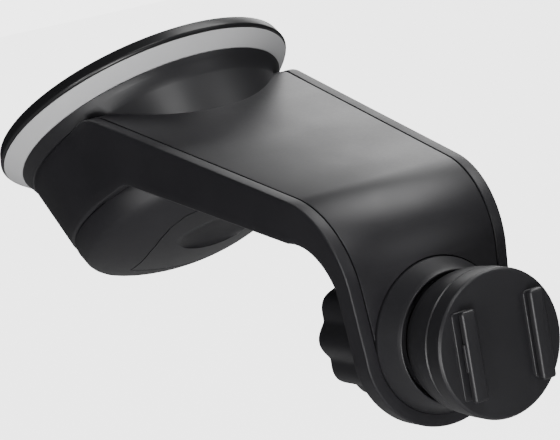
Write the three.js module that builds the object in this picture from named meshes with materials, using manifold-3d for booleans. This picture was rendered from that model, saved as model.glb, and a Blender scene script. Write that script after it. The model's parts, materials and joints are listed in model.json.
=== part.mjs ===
// Windscreen mount for a portable navigator: suction foot, bent arm, cam lever, ball joint, device plate.
// Millimetres, +Z up. The origin is the centre of the device plate's front face, which looks along -Y.
import * as THREE from "three";
import { mergeVertices } from "three/addons/utils/BufferGeometryUtils.js";
import Module from "manifold-3d";

const wasm = await Module();
wasm.setup();

// ---- driving dimensions (mm, degrees) ----
const PLATE_RADIUS = 16.45; // device plate
const PLATE_THICKNESS = 5.0;
const PLATE_STANDOFF = 21.65; // arm face to plate face
const ARM_END_RADIUS = 20.5; // round lower end of the arm
const ARM_TAPER = 0.1717; // growth of width per millimetre along the arm
const ARM_SLOPE = 14.48; // rise of the upper arm, degrees
const LEG_THICKNESS = 5.95;
const ARM_THICKNESS = 10.3;
const ARM_THICKNESS_REAR = 13.4;
const BEND_RADIUS = 21;
const BEND_START = 15.03; // height where the leg starts to bend
const COVER_INSET = 3.0; // edge strip beside the inlaid cover
const COVER_THICKNESS = 1.5;
const SEAM = 0.3; // gap between neighbouring mouldings
const WALL = 2.3;

const DISC_REACH = 115.8; // arm face to suction centre, along Y
const DISC_RISE = 52.3; // ball axis to suction centre, along Z
const DISC_TILT = 30; // suction axis from vertical, degrees
const DISC_RADIUS = 40;
const PAD_THICKNESS = 3.2;
const RING_TOP = 6.95; // depth below the glass where the grey ring ends
const RING_TOP_RADIUS = 35.94;
const BOWL_RADIUS = 34; // dish where it stands out of the arm's top face
const RIM_DEPTH = 10.6; // upper rim of the round foot housing
const FOOT_DEPTH = 29; // lower rim of the round foot housing
const PAD_CENTER_RADIUS = 13;
const PAD_TRAVEL = 2.5; // how far the lever pulls the pad's middle

const PIVOT_DEPTH = 36; // lever pivot below the glass
const CAM_RADIUS = 13.25;
const CAM_DROP = 2.5; // the cam's fall over its working angle
const CAM_ANGLE = 75; // the lever's working angle, degrees
const LEVER_HALF_WIDTH = 17;
const LEVER_FRONT = 18.5; // from the suction axis to the lever's front edge
// [x, radius] of the space that the lever's rear end turns in
const LEVER_TAIL = [[0, 14.0], [6, 13.8], [12, 13.3], [17.3, 12.5]];
const LEVER_SKIN = 1.8;
const PIN_RADIUS = 2.4;
const STEM_RADIUS = 5;

const BALL_RADIUS = 16.2;
const BALL_CENTER_Y = -14.8;
const BALL_WALL = 2.3;
const BALL_OPENING = 6.6;
const COLLAR_BASE_RADIUS = 17.5;
const COLLAR_TOP_RADIUS = 15.3;
const COLLAR_HEIGHT = 6.0;
const BOLT_RADIUS = 2.45;
const KNOB_RADIUS = 15.3;
const KNOB_LOBES = 10;
const KNOB_FRONT = 8.2;
const KNOB_REAR = 26.4;

const ROUND = 44; // facets round a large circle
const SMALL = 16; // facets round a screw or a pin

const radians = THREE.MathUtils.degToRad;

// ---- frames ----
const armFrame = new THREE.Group(); // its origin is the ball axis at the arm's front face
armFrame.position.set(0, PLATE_STANDOFF, 0);
const suctionFrame = new THREE.Group(); // z is the suction axis, towards the glass; y runs back and down
suctionFrame.position.set(0, DISC_REACH, DISC_RISE);
suctionFrame.rotation.x = -radians(DISC_TILT);
armFrame.add(suctionFrame);
armFrame.updateMatrixWorld(true);
const suctionToArm = suctionFrame.matrix.clone();
const armToSuction = suctionToArm.clone().invert();

// ---- geometry helpers ----
function solid(geometry, matrix) {
  const bare = geometry.clone();
  bare.deleteAttribute("normal");
  bare.deleteAttribute("uv");
  if (matrix) bare.applyMatrix4(matrix);
  const merged = mergeVertices(bare, 1e-4);
  const index = merged.index.array;
  const faces = [];
  for (let i = 0; i < index.length; i += 3) {
    const [a, b, c] = [index[i], index[i + 1], index[i + 2]];
    if (a !== b && b !== c && c !== a) faces.push([a, b, c]);
  }
  const position = merged.attributes.position.array;
  const point = (i) => new THREE.Vector3().fromArray(position, i * 3);
  const volume = faces.reduce((sum, [a, b, c]) => sum + point(a).dot(point(b).cross(point(c))), 0);
  const triVerts = new Uint32Array(faces.flatMap(([a, b, c]) => (volume > 0 ? [a, b, c] : [a, c, b])));
  const vertProperties = new Float32Array(position);
  return new wasm.Manifold(new wasm.Mesh({ numProp: 3, vertProperties, triVerts }));
}

function surface(manifold) {
  const mesh = manifold.getMesh();
  const geometry = new THREE.BufferGeometry();
  geometry.setAttribute("position", new THREE.BufferAttribute(new Float32Array(mesh.vertProperties), 3));
  geometry.setIndex(new THREE.BufferAttribute(new Uint32Array(mesh.triVerts), 1));
  geometry.computeVertexNormals();
  return geometry;
}

const join = (...parts) => parts.reduce((whole, part) => whole.add(part));
const cut = (whole, ...parts) => parts.reduce((rest, part) => rest.subtract(part), whole);

// A profile of [radius, height] points turned about Z.
function turnedZ(profile, facets = ROUND) {
  const points = profile.map(([radius, height]) => new THREE.Vector2(radius, height));
  return new THREE.LatheGeometry(points, facets).rotateX(Math.PI / 2);
}

// A profile of [radius, y] points turned about Y.
function turnedY(profile, facets = ROUND) {
  return new THREE.LatheGeometry(profile.map(([radius, y]) => new THREE.Vector2(radius, y)), facets);
}

function closed(profile) {
  return [...profile, profile[0]];
}

// An outline of [y, z] points extruded along X.
function alongX(outline, low, high) {
  const shape = new THREE.Shape(outline.map(([y, z]) => new THREE.Vector2(y, z)));
  const geometry = new THREE.ExtrudeGeometry(shape, { depth: high - low, bevelEnabled: false });
  const turn = new THREE.Matrix4().set(0, 0, 1, low, 1, 0, 0, 0, 0, 1, 0, 0, 0, 0, 0, 1);
  return geometry.applyMatrix4(turn);
}

// An outline of [x, z] points extruded along Y.
function alongY(outline, low, high) {
  const shape = new THREE.Shape(outline.map(([x, z]) => new THREE.Vector2(x, z)));
  const geometry = new THREE.ExtrudeGeometry(shape, { depth: high - low, bevelEnabled: false });
  return geometry.rotateX(Math.PI / 2).translate(0, high, 0);
}

function box(x0, x1, y0, y1, z0, z1) {
  const geometry = new THREE.BoxGeometry(x1 - x0, y1 - y0, z1 - z0);
  return geometry.translate((x0 + x1) / 2, (y0 + y1) / 2, (z0 + z1) / 2);
}

function rodX(radius, low, high, y, z, facets = SMALL) {
  const geometry = new THREE.CylinderGeometry(radius, radius, high - low, facets).rotateZ(Math.PI / 2);
  return geometry.translate((low + high) / 2, y, z);
}

function rodZ(radius, low, high, x, y, facets = SMALL) {
  const geometry = new THREE.CylinderGeometry(radius, radius, high - low, facets).rotateX(Math.PI / 2);
  return geometry.translate(x, y, (low + high) / 2);
}

function arc(centerA, centerB, radius, from, to, steps) {
  return Array.from({ length: steps + 1 }, (_, i) => {
    const angle = radians(from + ((to - from) * i) / steps);
    return [centerA + radius * Math.cos(angle), centerB + radius * Math.sin(angle)];
  });
}

function roundedRectangle(a0, a1, b0, b1, radius, steps = 4) {
  return [
    ...arc(a1 - radius, b1 - radius, radius, 0, 90, steps),
    ...arc(a0 + radius, b1 - radius, radius, 90, 180, steps),
    ...arc(a0 + radius, b0 + radius, radius, 180, 270, steps),
    ...arc(a1 - radius, b0 + radius, radius, 270, 360, steps),
  ];
}

// ---- the arm's path: straight leg, bend, rising upper arm ----
const slope = radians(ARM_SLOPE);
const turnAngle = Math.PI / 2 - slope;
const BEND_END = BEND_START + BEND_RADIUS * turnAngle;
const along = [Math.cos(slope), Math.sin(slope)];
const outward = [-Math.sin(slope), Math.cos(slope)];
const bendEnd = [BEND_RADIUS * (1 + outward[0]), BEND_START + BEND_RADIUS * outward[1]];

// The [y, z] of a point at a distance along the outer face and a depth inside it.
function onArm(distance, depth) {
  if (distance <= BEND_START) return [depth, distance];
  if (distance >= BEND_END) {
    const run = distance - BEND_END;
    return [
      bendEnd[0] + along[0] * run - outward[0] * depth,
      bendEnd[1] + along[1] * run - outward[1] * depth,
    ];
  }
  const angle = Math.PI - (distance - BEND_START) / BEND_RADIUS;
  const radius = BEND_RADIUS - depth;
  return [BEND_RADIUS + radius * Math.cos(angle), BEND_START + radius * Math.sin(angle)];
}

function distanceAt(y, z) {
  const run = (y - bendEnd[0]) * along[0] + (z - bendEnd[1]) * along[1];
  if (run >= 0) return BEND_END + run;
  if (z <= BEND_START) return z;
  const angle = Math.PI - Math.atan2(z - BEND_START, y - BEND_RADIUS);
  return BEND_START + Math.min(Math.max(angle, 0), turnAngle) * BEND_RADIUS;
}

const halfWidth = (distance) => ARM_END_RADIUS + (ARM_TAPER * Math.max(distance, 0)) / 2;

function armThickness(distance) {
  if (distance <= BEND_START) return LEG_THICKNESS;
  if (distance < BEND_END) {
    const share = (distance - BEND_START) / (BEND_END - BEND_START);
    return LEG_THICKNESS + (ARM_THICKNESS - LEG_THICKNESS) * share;
  }
  const share = Math.min((distance - BEND_END) / 65, 1);
  return ARM_THICKNESS + (ARM_THICKNESS_REAR - ARM_THICKNESS) * share;
}

const BEND_STEPS = 10;
function stations(from, to) {
  const list = [from];
  if (from < BEND_END && to > BEND_START) {
    for (let i = 0; i <= BEND_STEPS; i += 1) {
      const distance = BEND_START + ((BEND_END - BEND_START) * i) / BEND_STEPS;
      if (distance > from + 0.01 && distance < to - 0.01) list.push(distance);
    }
  }
  if (to > BEND_END + 70 && from < BEND_END + 60) list.push(BEND_END + 65);
  list.push(to);
  return list;
}

// A layer of the arm between two depths, as wide as the arm less an inset on each side.
function armLayer(from, to, top, bottom, inset) {
  const path = stations(from, to);
  const upper = path.map((distance) => onArm(distance, top(distance)));
  const lower = path.map((distance) => onArm(distance, bottom(distance))).reverse();
  const geometry = alongX([...upper, ...lower], -1, 1);
  return spread(geometry, inset);
}

function spread(geometry, inset) {
  const position = geometry.attributes.position;
  for (let i = 0; i < position.count; i += 1) {
    const width = halfWidth(distanceAt(position.getY(i), position.getZ(i))) - inset;
    position.setX(i, position.getX(i) * width);
  }
  return geometry;
}

// ---- shared cutters, in the arm frame ----
const FAR = 200;
const ARM_LENGTH = 150; // far enough along the path to run past the suction axis

const roundEnd = (radius) => solid(alongY(
  [[FAR, 0], [FAR, FAR], [-FAR, FAR], [-FAR, 0], ...arc(0, 0, radius, 180, 360, ROUND / 2)], -60, FAR,
));

// Half-spaces: above or below the plane of the upper arm's top face, moved by an offset.
function armTopSide(offset, above) {
  const shift = above ? FAR / 2 : -FAR / 2;
  const geometry = new THREE.BoxGeometry(FAR, 2 * FAR, FAR).translate(0, 0, shift + offset);
  geometry.rotateX(slope).translate(0, bendEnd[0], bendEnd[1]);
  return solid(geometry);
}

// Keeps what lies between two depths of the suction axis.
const depthBand = (top, bottom) => solid(box(-FAR, FAR, -FAR, FAR, -bottom, -top), suctionToArm);

const onSuction = (geometry) => solid(geometry, suctionToArm);

// ---- round foot housing, a tapered drum about the suction axis ----
const drumRadius = (depth) => 34.3 - (depth - RIM_DEPTH) * 0.17;
function drum(top, bottom, less = 0) {
  return turnedZ([
    [0, -top], [drumRadius(top) - less, -top], [drumRadius(bottom) - less, -bottom], [0, -bottom],
  ]);
}

// ---- screws ----
function screwGeometry(headRadius, headHeight, shankRadius, length) {
  const body = solid(turnedZ([
    [0, 0], [shankRadius, 0], [shankRadius, length], [headRadius, length],
    [headRadius, length + headHeight * 0.6], [headRadius * 0.7, length + headHeight],
    [0, length + headHeight],
  ], SMALL));
  const slotWidth = headRadius * 0.3;
  const slotReach = headRadius * 0.6;
  const top = length + headHeight;
  const cross = [
    solid(box(-slotReach, slotReach, -slotWidth / 2, slotWidth / 2, top - headHeight * 0.5, top + 1)),
    solid(box(-slotWidth / 2, slotWidth / 2, -slotReach, slotReach, top - headHeight * 0.5, top + 1)),
  ];
  return surface(cut(body, ...cross));
}

// ---- suction foot ----
const padRadius = (depth) => DISC_RADIUS - 0.85 + (0.85 * depth) / PAD_THICKNESS;

function suctionPad() {
  const inner = PAD_CENTER_RADIUS + 0.4;
  return turnedZ(closed([
    [inner, -1.2], [inner + 7, 0], [padRadius(0), 0], [DISC_RADIUS, -PAD_THICKNESS + 0.3],
    [DISC_RADIUS - 0.3, -PAD_THICKNESS], [inner + 7, -PAD_THICKNESS], [inner, -PAD_THICKNESS],
  ]), 60);
}

function padCenter() {
  return turnedZ([
    [0, -PAD_TRAVEL], [PAD_CENTER_RADIUS - 2, -PAD_TRAVEL], [PAD_CENTER_RADIUS, -PAD_TRAVEL - 0.4],
    [PAD_CENTER_RADIUS, -PAD_TRAVEL - 2], [0, -PAD_TRAVEL - 2],
  ]);
}

function padRing() {
  return turnedZ(closed([
    [DISC_RADIUS - 0.3, -PAD_THICKNESS - 0.1], [RING_TOP_RADIUS, -RING_TOP], [29, -RING_TOP],
    [29, -PAD_THICKNESS - 0.1],
  ]), 60);
}

const FLOOR_TOP = 18.9;
const FLOOR_BOTTOM = 21.4;
const SCREW_X = 22.5;
const SCREW_Y = 10;
const screwSpots = [[-1, -1], [1, -1], [-1, 1], [1, 1]].map(([a, b]) => [a * SCREW_X, b * SCREW_Y]);

function suctionDish() {
  const top = RING_TOP + 0.1;
  const flange = solid(turnedZ([
    [0, -top], [RING_TOP_RADIUS, -top], [RING_TOP_RADIUS - 0.1, -top - 0.6],
    [drumRadius(RIM_DEPTH), -RIM_DEPTH + SEAM], [0, -RIM_DEPTH + SEAM],
  ]));
  const core = solid(turnedZ([
    [0, -top], [drumRadius(RIM_DEPTH) - WALL - SEAM, -top],
    [drumRadius(FLOOR_BOTTOM) - WALL - SEAM, -FLOOR_BOTTOM], [0, -FLOOR_BOTTOM],
  ]));
  const bowl = solid(turnedZ([
    [0, -9], [35.0, -9], [BOWL_RADIUS + 0.4, -13], [BOWL_RADIUS, -17], [BOWL_RADIUS, -24], [0, -24],
  ]));
  const bowlFront = bowl.intersect(solidFromArm(armTopSide(SEAM, true)));
  const hub = solid(turnedZ([[0, -9], [9.5, -9], [11, -FLOOR_TOP], [0, -FLOOR_TOP]]));
  const inside = solid(turnedZ([
    [0, -top + 1], [28, -top + 1], [drumRadius(FLOOR_TOP) - 2 * WALL - SEAM, -FLOOR_TOP], [0, -FLOOR_TOP],
  ]));
  const bore = solid(rodZ(STEM_RADIUS + 0.4, -40, 0, 0, 0, 32));
  const holes = screwSpots.map(([x, y]) => solid(rodZ(1.75, -40, 0, x, y)));
  return surface(cut(join(cut(join(flange, core, bowlFront), inside), hub), bore, ...holes));
}

function solidFromArm(manifold) {
  return solid(surface(manifold), armToSuction);
}

function wearPlate() {
  return turnedZ(closed([
    [STEM_RADIUS + 0.6, -FLOOR_BOTTOM - 0.1], [16, -FLOOR_BOTTOM - 0.1], [16, -FLOOR_BOTTOM - 1.1],
    [STEM_RADIUS + 0.6, -FLOOR_BOTTOM - 1.1],
  ]));
}

function stem() {
  const foot = -PAD_TRAVEL - 2.1;
  const body = solid(turnedZ([
    [0, foot], [PAD_CENTER_RADIUS - 1, foot], [PAD_CENTER_RADIUS - 1, foot - 1.6], [7.5, foot - 2.4],
    [STEM_RADIUS, foot - 4], [STEM_RADIUS, -PIVOT_DEPTH - 2.6], [STEM_RADIUS - 1.2, -PIVOT_DEPTH - 4.1],
    [0, -PIVOT_DEPTH - 4.1],
  ], 24));
  return surface(cut(body, solid(rodX(PIN_RADIUS + 0.12, -10, 10, 0, -PIVOT_DEPTH))));
}

// ---- lever: a cam fork about the pivot and a wide paddle under the arm ----
const CAM_INSIDE = 6.6;
const CAM_OUTSIDE = 12.6;

// The cam's radius falls as the lever opens; the angle is measured from the glass side.
function camOutline() {
  const points = [];
  for (let angle = -180; angle < 180; angle += 10) {
    const worked = Math.min(Math.max(angle, 0), CAM_ANGLE) / CAM_ANGLE;
    const past = Math.min(Math.max(angle - CAM_ANGLE, 0), 60) / 60;
    const before = Math.min(Math.max(-angle, 0), 120) / 120;
    const radius = CAM_RADIUS - CAM_DROP * worked - 5.4 * past - 7.2 * before;
    const turn = radians(angle);
    points.push([radius * Math.sin(turn), -PIVOT_DEPTH + radius * Math.cos(turn)]);
  }
  return points;
}

// The lever's outline seen along the suction axis, as [x, y].
function leverPlan(grow) {
  const half = [
    [LEVER_HALF_WIDTH, 20], [LEVER_HALF_WIDTH, -2], [16.4, -6.3], [15.6, -10.3], [14.0, -14.0],
    [11.6, -16.9], [9.2, -18.1], [7.5, -LEVER_FRONT],
  ];
  const wider = half.map(([x, y], i) => [x + grow, i > 0 ? y - grow * 0.6 : y]);
  return [...wider, ...wider.map(([x, y]) => [-x, y]).reverse()];
}

// An outline of [x, y] points extruded along Z.
function alongZ(outline, low, high) {
  const shape = new THREE.Shape(outline.map(([x, y]) => new THREE.Vector2(x, y)));
  return new THREE.ExtrudeGeometry(shape, { depth: high - low, bevelEnabled: false }).translate(0, 0, low);
}

// The barrel about the pivot that the lever's rear end turns inside.
function tailBarrel(grow) {
  const half = [...LEVER_TAIL, [40, LEVER_TAIL.at(-1)[1]]].map(([x, radius]) => [radius + grow, x]);
  const other = half.slice(1).reverse().map(([radius, x]) => [radius, -x]);
  const profile = [[0, -40], ...other, ...half, [0, 40]];
  return turnedZ(profile).rotateY(Math.PI / 2).translate(0, 0, -PIVOT_DEPTH);
}

function camLever() {
  const skin = cut(solid(domeSolid(0)), solid(domeSolid(LEVER_SKIN)));
  const front = solid(box(-40, 40, -60, 0, -60, -20));
  const behind = solid(tailBarrel(0));
  const openReach = solid(alongX([
    [9.74, -PIVOT_DEPTH + 5], [30, -PIVOT_DEPTH + 5], [30, -PIVOT_DEPTH - 10], [13.76, -PIVOT_DEPTH - 10],
  ], -40, 40));
  const plan = solid(alongZ(leverPlan(0), -60, -36.5));
  const paddle = cut(skin.intersect(plan).intersect(join(front, behind)), openReach);
  const sides = [[-CAM_OUTSIDE, -CAM_INSIDE], [CAM_INSIDE, CAM_OUTSIDE]].map(([low, high]) => join(
    solid(alongX(camOutline(), low, high)),
    solid(alongX([[-9, -PIVOT_DEPTH - 2], [6, -PIVOT_DEPTH - 2], [8, -44], [-12, -44]], low, high))
      .intersect(solid(domeSolid(0.5))),
  ));
  const dish = new THREE.SphereGeometry(1, 24, 12).scale(13.5, 8.5, 3.1).rotateX(radians(5));
  const recess = solid(dish.translate(0, -8.2, -43.9));
  const floor = solid(new THREE.SphereGeometry(1, 16, 10).scale(14.4, 9.4, 4.1).rotateX(radians(5))
    .translate(0, -8.2, -43.9)).intersect(solid(domeSolid(0.5)));
  const bore = solid(rodX(PIN_RADIUS + 0.15, -20, 20, 0, -PIVOT_DEPTH));
  const stemRoom = solid(rodX(5.95, -CAM_INSIDE, CAM_INSIDE, 0, -PIVOT_DEPTH, 32));
  return surface(cut(join(cut(join(paddle, floor), stemRoom), ...sides), recess, bore));
}

// ---- mechanism cover: the rounded underside that closes the foot ----
const DOME_TOP = FOOT_DEPTH + SEAM;
const domeProfile = [
  [31.0, DOME_TOP], [30.6, 31.8], [30.0, 34.0], [28.9, 35.8], [27.0, 37.0], [23.5, 38.8], [18.0, 40.7],
  [12.0, 42.2], [6.0, 43.2], [0, 43.5],
];

function domeSolid(less) {
  const wall = domeProfile.map(([radius, depth], i) => {
    const slant = i < 4 ? 1 : 0.35;
    return [Math.max(radius - less * slant, 0), -(depth - (i < 2 ? 0 : less * (i < 4 ? 0.5 : 0.98)))];
  });
  return turnedZ([[0, less > 0 ? -28 : -DOME_TOP], ...(less > 0 ? [[wall[0][0], -28]] : []), ...wall]);
}

function mechanismCover() {
  const dome = solid(domeSolid(0));
  const slot = solid(alongZ(leverPlan(SEAM), -60, -36));
  const tailTurn = solid(tailBarrel(SEAM));
  const forward = solid(box(-40, 40, -60, 0, -60, -20));
  const gap = slot.intersect(join(forward, tailTurn));
  const bosses = screwSpots.map(([x, y]) => solid(rodZ(3.0, -37, -DOME_TOP, x, y)));
  const pilots = screwSpots.map(([x, y]) => solid(rodZ(1.55, -34.6, -20, x, y)));
  const shell = cut(dome, solid(domeSolid(2)));
  return surface(cut(join(shell, join(...bosses).intersect(dome)), gap, ...pilots));
}

// ---- arm shell: U-section tub, foot housing at the rear, knob seat at the lower end ----
function armShell() {
  const outline = [
    ...stations(-22, 104).map((s) => onArm(s, 0)),
    onArm(ARM_LENGTH, 0),
  ];
  const rimPoint = (back, depth) => {
    const point = new THREE.Vector3(0, back, -depth).applyMatrix4(suctionToArm);
    return [point.y, point.z];
  };
  const underside = [
    rimPoint(10, FOOT_DEPTH), rimPoint(-17.5, FOOT_DEPTH), rimPoint(-21.5, FOOT_DEPTH + 0.6),
    rimPoint(-25, FOOT_DEPTH + 2),
    ...stations(-22, 96).reverse().map((s) => onArm(s, armThickness(s))),
  ];
  const frontOfAxis = onSuction(box(-FAR, FAR, -FAR, 1, -FAR, FAR));
  const slab = solid(spread(alongX([...outline, ...underside], -1, 1), 0)).intersect(frontOfAxis);
  const body = join(slab, onSuction(drum(RIM_DEPTH, FOOT_DEPTH)))
    .intersect(depthBand(RIM_DEPTH, 200))
    .intersect(armTopSide(0, false))
    .intersect(roundEnd(ARM_END_RADIUS))
    .subtract(onSuction(turnedZ([[0, -FOOT_DEPTH], [31.3, -FOOT_DEPTH], [31.3, -60], [0, -60]])));
  const pocketDepth = COVER_THICKNESS + SEAM;
  const pocket = solid(armLayer(-22, ARM_LENGTH, () => -5, () => pocketDepth, COVER_INSET))
    .intersect(roundEnd(ARM_END_RADIUS - COVER_INSET));
  const channel = solid(armLayer(27, 112, () => 0.5, (s) => armThickness(s) - WALL, COVER_INSET + 1));
  const footRoom = onSuction(drum(RIM_DEPTH - 1, FOOT_DEPTH + 1, WALL));
  const lugs = screwSpots.map(([x, y]) => {
    const out = Math.sign(x);
    const [near, far] = [out * 19.4, out * 31];
    const lug = box(Math.min(near, far), Math.max(near, far), y - 4, y + 4, -FOOT_DEPTH, -26.4);
    return onSuction(lug).intersect(onSuction(drum(RIM_DEPTH, FOOT_DEPTH)));
  });
  const screwHoles = screwSpots.map(([x, y]) => onSuction(rodZ(1.75, -40, -20, x, y)));
  const boltHole = solid(turnedY([[0, -5], [BOLT_RADIUS + 0.3, -5], [BOLT_RADIUS + 0.3, 20], [0, 20]], 24));
  const coverHoles = coverScrewSpots.map((spot) => solid(coverScrewHole(1.6, 40, 0), spot));
  const bore = coverScrewHole(3.1, 20, ARM_THICKNESS - 1.3);
  const coverBores = coverScrewSpots.map((spot) => solid(bore, spot));
  const hollowed = cut(body, pocket, channel, footRoom);
  return surface(cut(join(hollowed, ...lugs), ...screwHoles, boltHole, ...coverHoles, ...coverBores));
}

// The two screws that hold the cover, in a frame on the upper arm with z pointing into the arm.
const COVER_SCREW_S = 53;
const coverScrewSpots = [-1, 1].map((sign) => {
  const [y, z] = onArm(COVER_SCREW_S, 0);
  const matrix = new THREE.Matrix4().makeRotationX(slope + Math.PI);
  return matrix.setPosition(sign * 14, y, z);
});

function coverScrewHole(radius, to, from) {
  return rodZ(radius, from, to, 0, 0);
}

function armCover() {
  const inset = COVER_INSET + SEAM;
  const plate = solid(armLayer(-22, ARM_LENGTH, () => 0, () => COVER_THICKNESS, inset))
    .intersect(roundEnd(ARM_END_RADIUS - inset))
    .intersect(depthBand(RIM_DEPTH + 0.4, 200));
  const collarRoom = solid(turnedY([
    [0, -20], [COLLAR_BASE_RADIUS + SEAM, -20], [COLLAR_BASE_RADIUS + SEAM, 20], [0, 20],
  ]));
  const dishRoom = onSuction(drum(RIM_DEPTH - 4, 40, WALL));
  const boss = coverScrewHole(2.6, ARM_THICKNESS - WALL - SEAM, 1);
  const bosses = coverScrewSpots.map((spot) => solid(boss, spot));
  const pilots = coverScrewSpots.map((spot) => solid(coverScrewHole(1.4, 20, 1.4), spot));
  const slice = solid(box(-0.8, 0.8, -FAR, FAR, -FAR, FAR));
  const rib = solid(armLayer(60, 90, () => 1, () => 4.5, 0)).intersect(slice);
  return surface(cut(join(cut(plate, collarRoom, dishRoom), ...bosses, rib), ...pilots));
}

// ---- ball joint ----
const sphereArc = (radius, fromY, toY, steps) => Array.from({ length: steps + 1 }, (_, i) => {
  const y = fromY + ((toY - fromY) * i) / steps;
  return [Math.sqrt(Math.max(radius * radius - (y - BALL_CENTER_Y) ** 2, 0)), y];
});

const heightAt = (radius, sphere) => BALL_CENTER_Y + Math.sqrt(sphere * sphere - radius * radius);

function socketCollar() {
  const seat = BALL_RADIUS + SEAM;
  return turnedY(closed([
    [COLLAR_BASE_RADIUS, COVER_THICKNESS], [COLLAR_BASE_RADIUS, -0.5],
    [COLLAR_TOP_RADIUS + 0.3, -COLLAR_HEIGHT + 0.8], [COLLAR_TOP_RADIUS - 0.4, -COLLAR_HEIGHT],
    [COLLAR_TOP_RADIUS - 0.8, -COLLAR_HEIGHT], [COLLAR_TOP_RADIUS - 1.3, -COLLAR_HEIGHT + 0.6],
    [13.6, -4.2], ...sphereArc(seat, heightAt(12.6, seat), heightAt(7.2, seat), 4), [7.2, COVER_THICKNESS],
  ]));
}

function ballShell() {
  const inner = BALL_RADIUS - BALL_WALL;
  const front = -PLATE_STANDOFF + PLATE_THICKNESS + 0.1;
  return turnedY(closed([
    ...sphereArc(BALL_RADIUS, heightAt(BALL_OPENING, BALL_RADIUS), BALL_CENTER_Y, 8), [BALL_RADIUS, front],
    [inner, front], ...sphereArc(inner, BALL_CENTER_Y, heightAt(BALL_OPENING, inner), 6),
  ]));
}

function sphericalRing(outer, inner, hole, edge) {
  return turnedY(closed([
    ...sphereArc(outer, heightAt(hole, outer), heightAt(edge, outer), 5),
    ...sphereArc(inner, heightAt(edge - 0.8, inner), heightAt(hole, inner), 4),
  ]), 32);
}

const frictionLiner = () => sphericalRing(13.65, 12.75, 6.4, 11.2);

function pressureWasher() {
  const outer = 12.5;
  return turnedY(closed([
    ...sphereArc(outer, heightAt(BOLT_RADIUS + 0.3, outer), heightAt(9.6, outer), 6),
    [9.0, -7.6], [BOLT_RADIUS + 0.3, -7.6],
  ]), 32);
}

function clampBolt() {
  const body = solid(turnedY([
    [0, -11.2], [3.9, -11.2], [4.5, -10.6], [4.5, -7.9], [BOLT_RADIUS, -7.9], [BOLT_RADIUS, 19.4],
    [BOLT_RADIUS - 0.5, 20], [0, 20],
  ], 24));
  const socket = solid(turnedY([[0, -12], [2.3, -12], [2.3, -9.2], [0, -9.2]], 6));
  return surface(cut(body, socket));
}

// ---- device plate with two T-shaped tabs ----
const TAB_CENTER = 9.25;
const TAB_HALF_WIDTH = 1.85;
const TAB_HALF_LENGTH = 10;
const TAB_HEIGHT = 3.05;
const STEM_HALF_WIDTH = 0.95;

function adapterPlate() {
  const front = -PLATE_STANDOFF;
  const rear = front + PLATE_THICKNESS;
  const disc = solid(turnedY([
    [0, front], [PLATE_RADIUS - 0.35, front], [PLATE_RADIUS, front + 0.35], [PLATE_RADIUS, rear - 0.5],
    [PLATE_RADIUS - 0.35, rear - 0.1], [0, rear - 0.1],
  ]));
  const skirt = solid(turnedY(closed([
    [13.6, rear - 0.5], [13.6, rear + 1.6], [12.0, rear + 1.6], [12.0, rear - 0.5],
  ])));
  const tabs = [];
  for (const sign of [-1, 1]) {
    const x = sign * TAB_CENTER;
    const padIn = sign * (TAB_CENTER - TAB_HALF_WIDTH);
    const padOut = sign * (TAB_CENTER + TAB_HALF_WIDTH + 0.95);
    const [low, high] = [Math.min(padIn, padOut), Math.max(padIn, padOut)];
    tabs.push(solid(alongY(roundedRectangle(low, high, -9.7, 9.7, 0.9, 3), front - 0.45, front + 1)));
    tabs.push(solid(box(x - STEM_HALF_WIDTH, x + STEM_HALF_WIDTH, front - 2, front + 1, -9.2, 9.2)));
    const [left, right] = [x - TAB_HALF_WIDTH, x + TAB_HALF_WIDTH];
    const head = roundedRectangle(left, right, -TAB_HALF_LENGTH, TAB_HALF_LENGTH, 0.7, 3);
    tabs.push(solid(alongY(head, front - TAB_HEIGHT, front - TAB_HEIGHT + 1.5)));
    const side = x + sign * TAB_HALF_WIDTH;
    tabs.push(solid(box(side - 0.3, side + 0.3, front - 2.5, front - 1.8, -3, 3)));
  }
  return surface(join(disc, skirt, ...tabs));
}

// ---- clamping knob ----
function lobedOutline(radius, depth) {
  return Array.from({ length: KNOB_LOBES * 6 }, (_, i) => {
    const angle = (i / (KNOB_LOBES * 6)) * 2 * Math.PI;
    const wave = 0.5 + 0.5 * Math.cos(KNOB_LOBES * angle);
    const reach = radius - depth * (1 - wave ** 0.7);
    return [reach * Math.cos(angle), reach * Math.sin(angle)];
  });
}

function clampingKnob() {
  const body = solid(alongY(lobedOutline(KNOB_RADIUS + 0.5, 1.5), KNOB_FRONT + 1, KNOB_REAR - 1));
  const front = solid(alongY(lobedOutline(KNOB_RADIUS - 0.4, 1.3), KNOB_FRONT, KNOB_FRONT + 1.2));
  const rear = solid(alongY(lobedOutline(KNOB_RADIUS - 0.4, 1.3), KNOB_REAR - 1.2, KNOB_REAR));
  const insertRoom = solid(alongY(hexagon(5.3), KNOB_FRONT - 1, KNOB_FRONT + 8.6));
  const boltRoom = solid(turnedY([[0, 0], [2.9, 0], [2.9, 22], [0, 22]], 24));
  const capRoom = solid(turnedY([[0, 21.8], [9.2, 21.8], [9.2, 30], [0, 30]]));
  const frontDish = solid(turnedY(closed([
    [7.6, 5], [13.2, 5], [12.6, KNOB_FRONT + 5], [7.6, KNOB_FRONT + 5],
  ])));
  return surface(cut(join(body, front, rear), insertRoom, boltRoom, capRoom, frontDish));
}

function hexagon(radius) {
  return arc(0, 0, radius, 0, 300, 5);
}

function knobInsert() {
  const body = solid(alongY(hexagon(4.95), KNOB_FRONT, KNOB_FRONT + 8.2));
  const bore = solid(turnedY([[0, 0], [BOLT_RADIUS + 0.12, 0], [BOLT_RADIUS + 0.12, 30], [0, 30]], 24));
  return surface(cut(body, bore));
}

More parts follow.
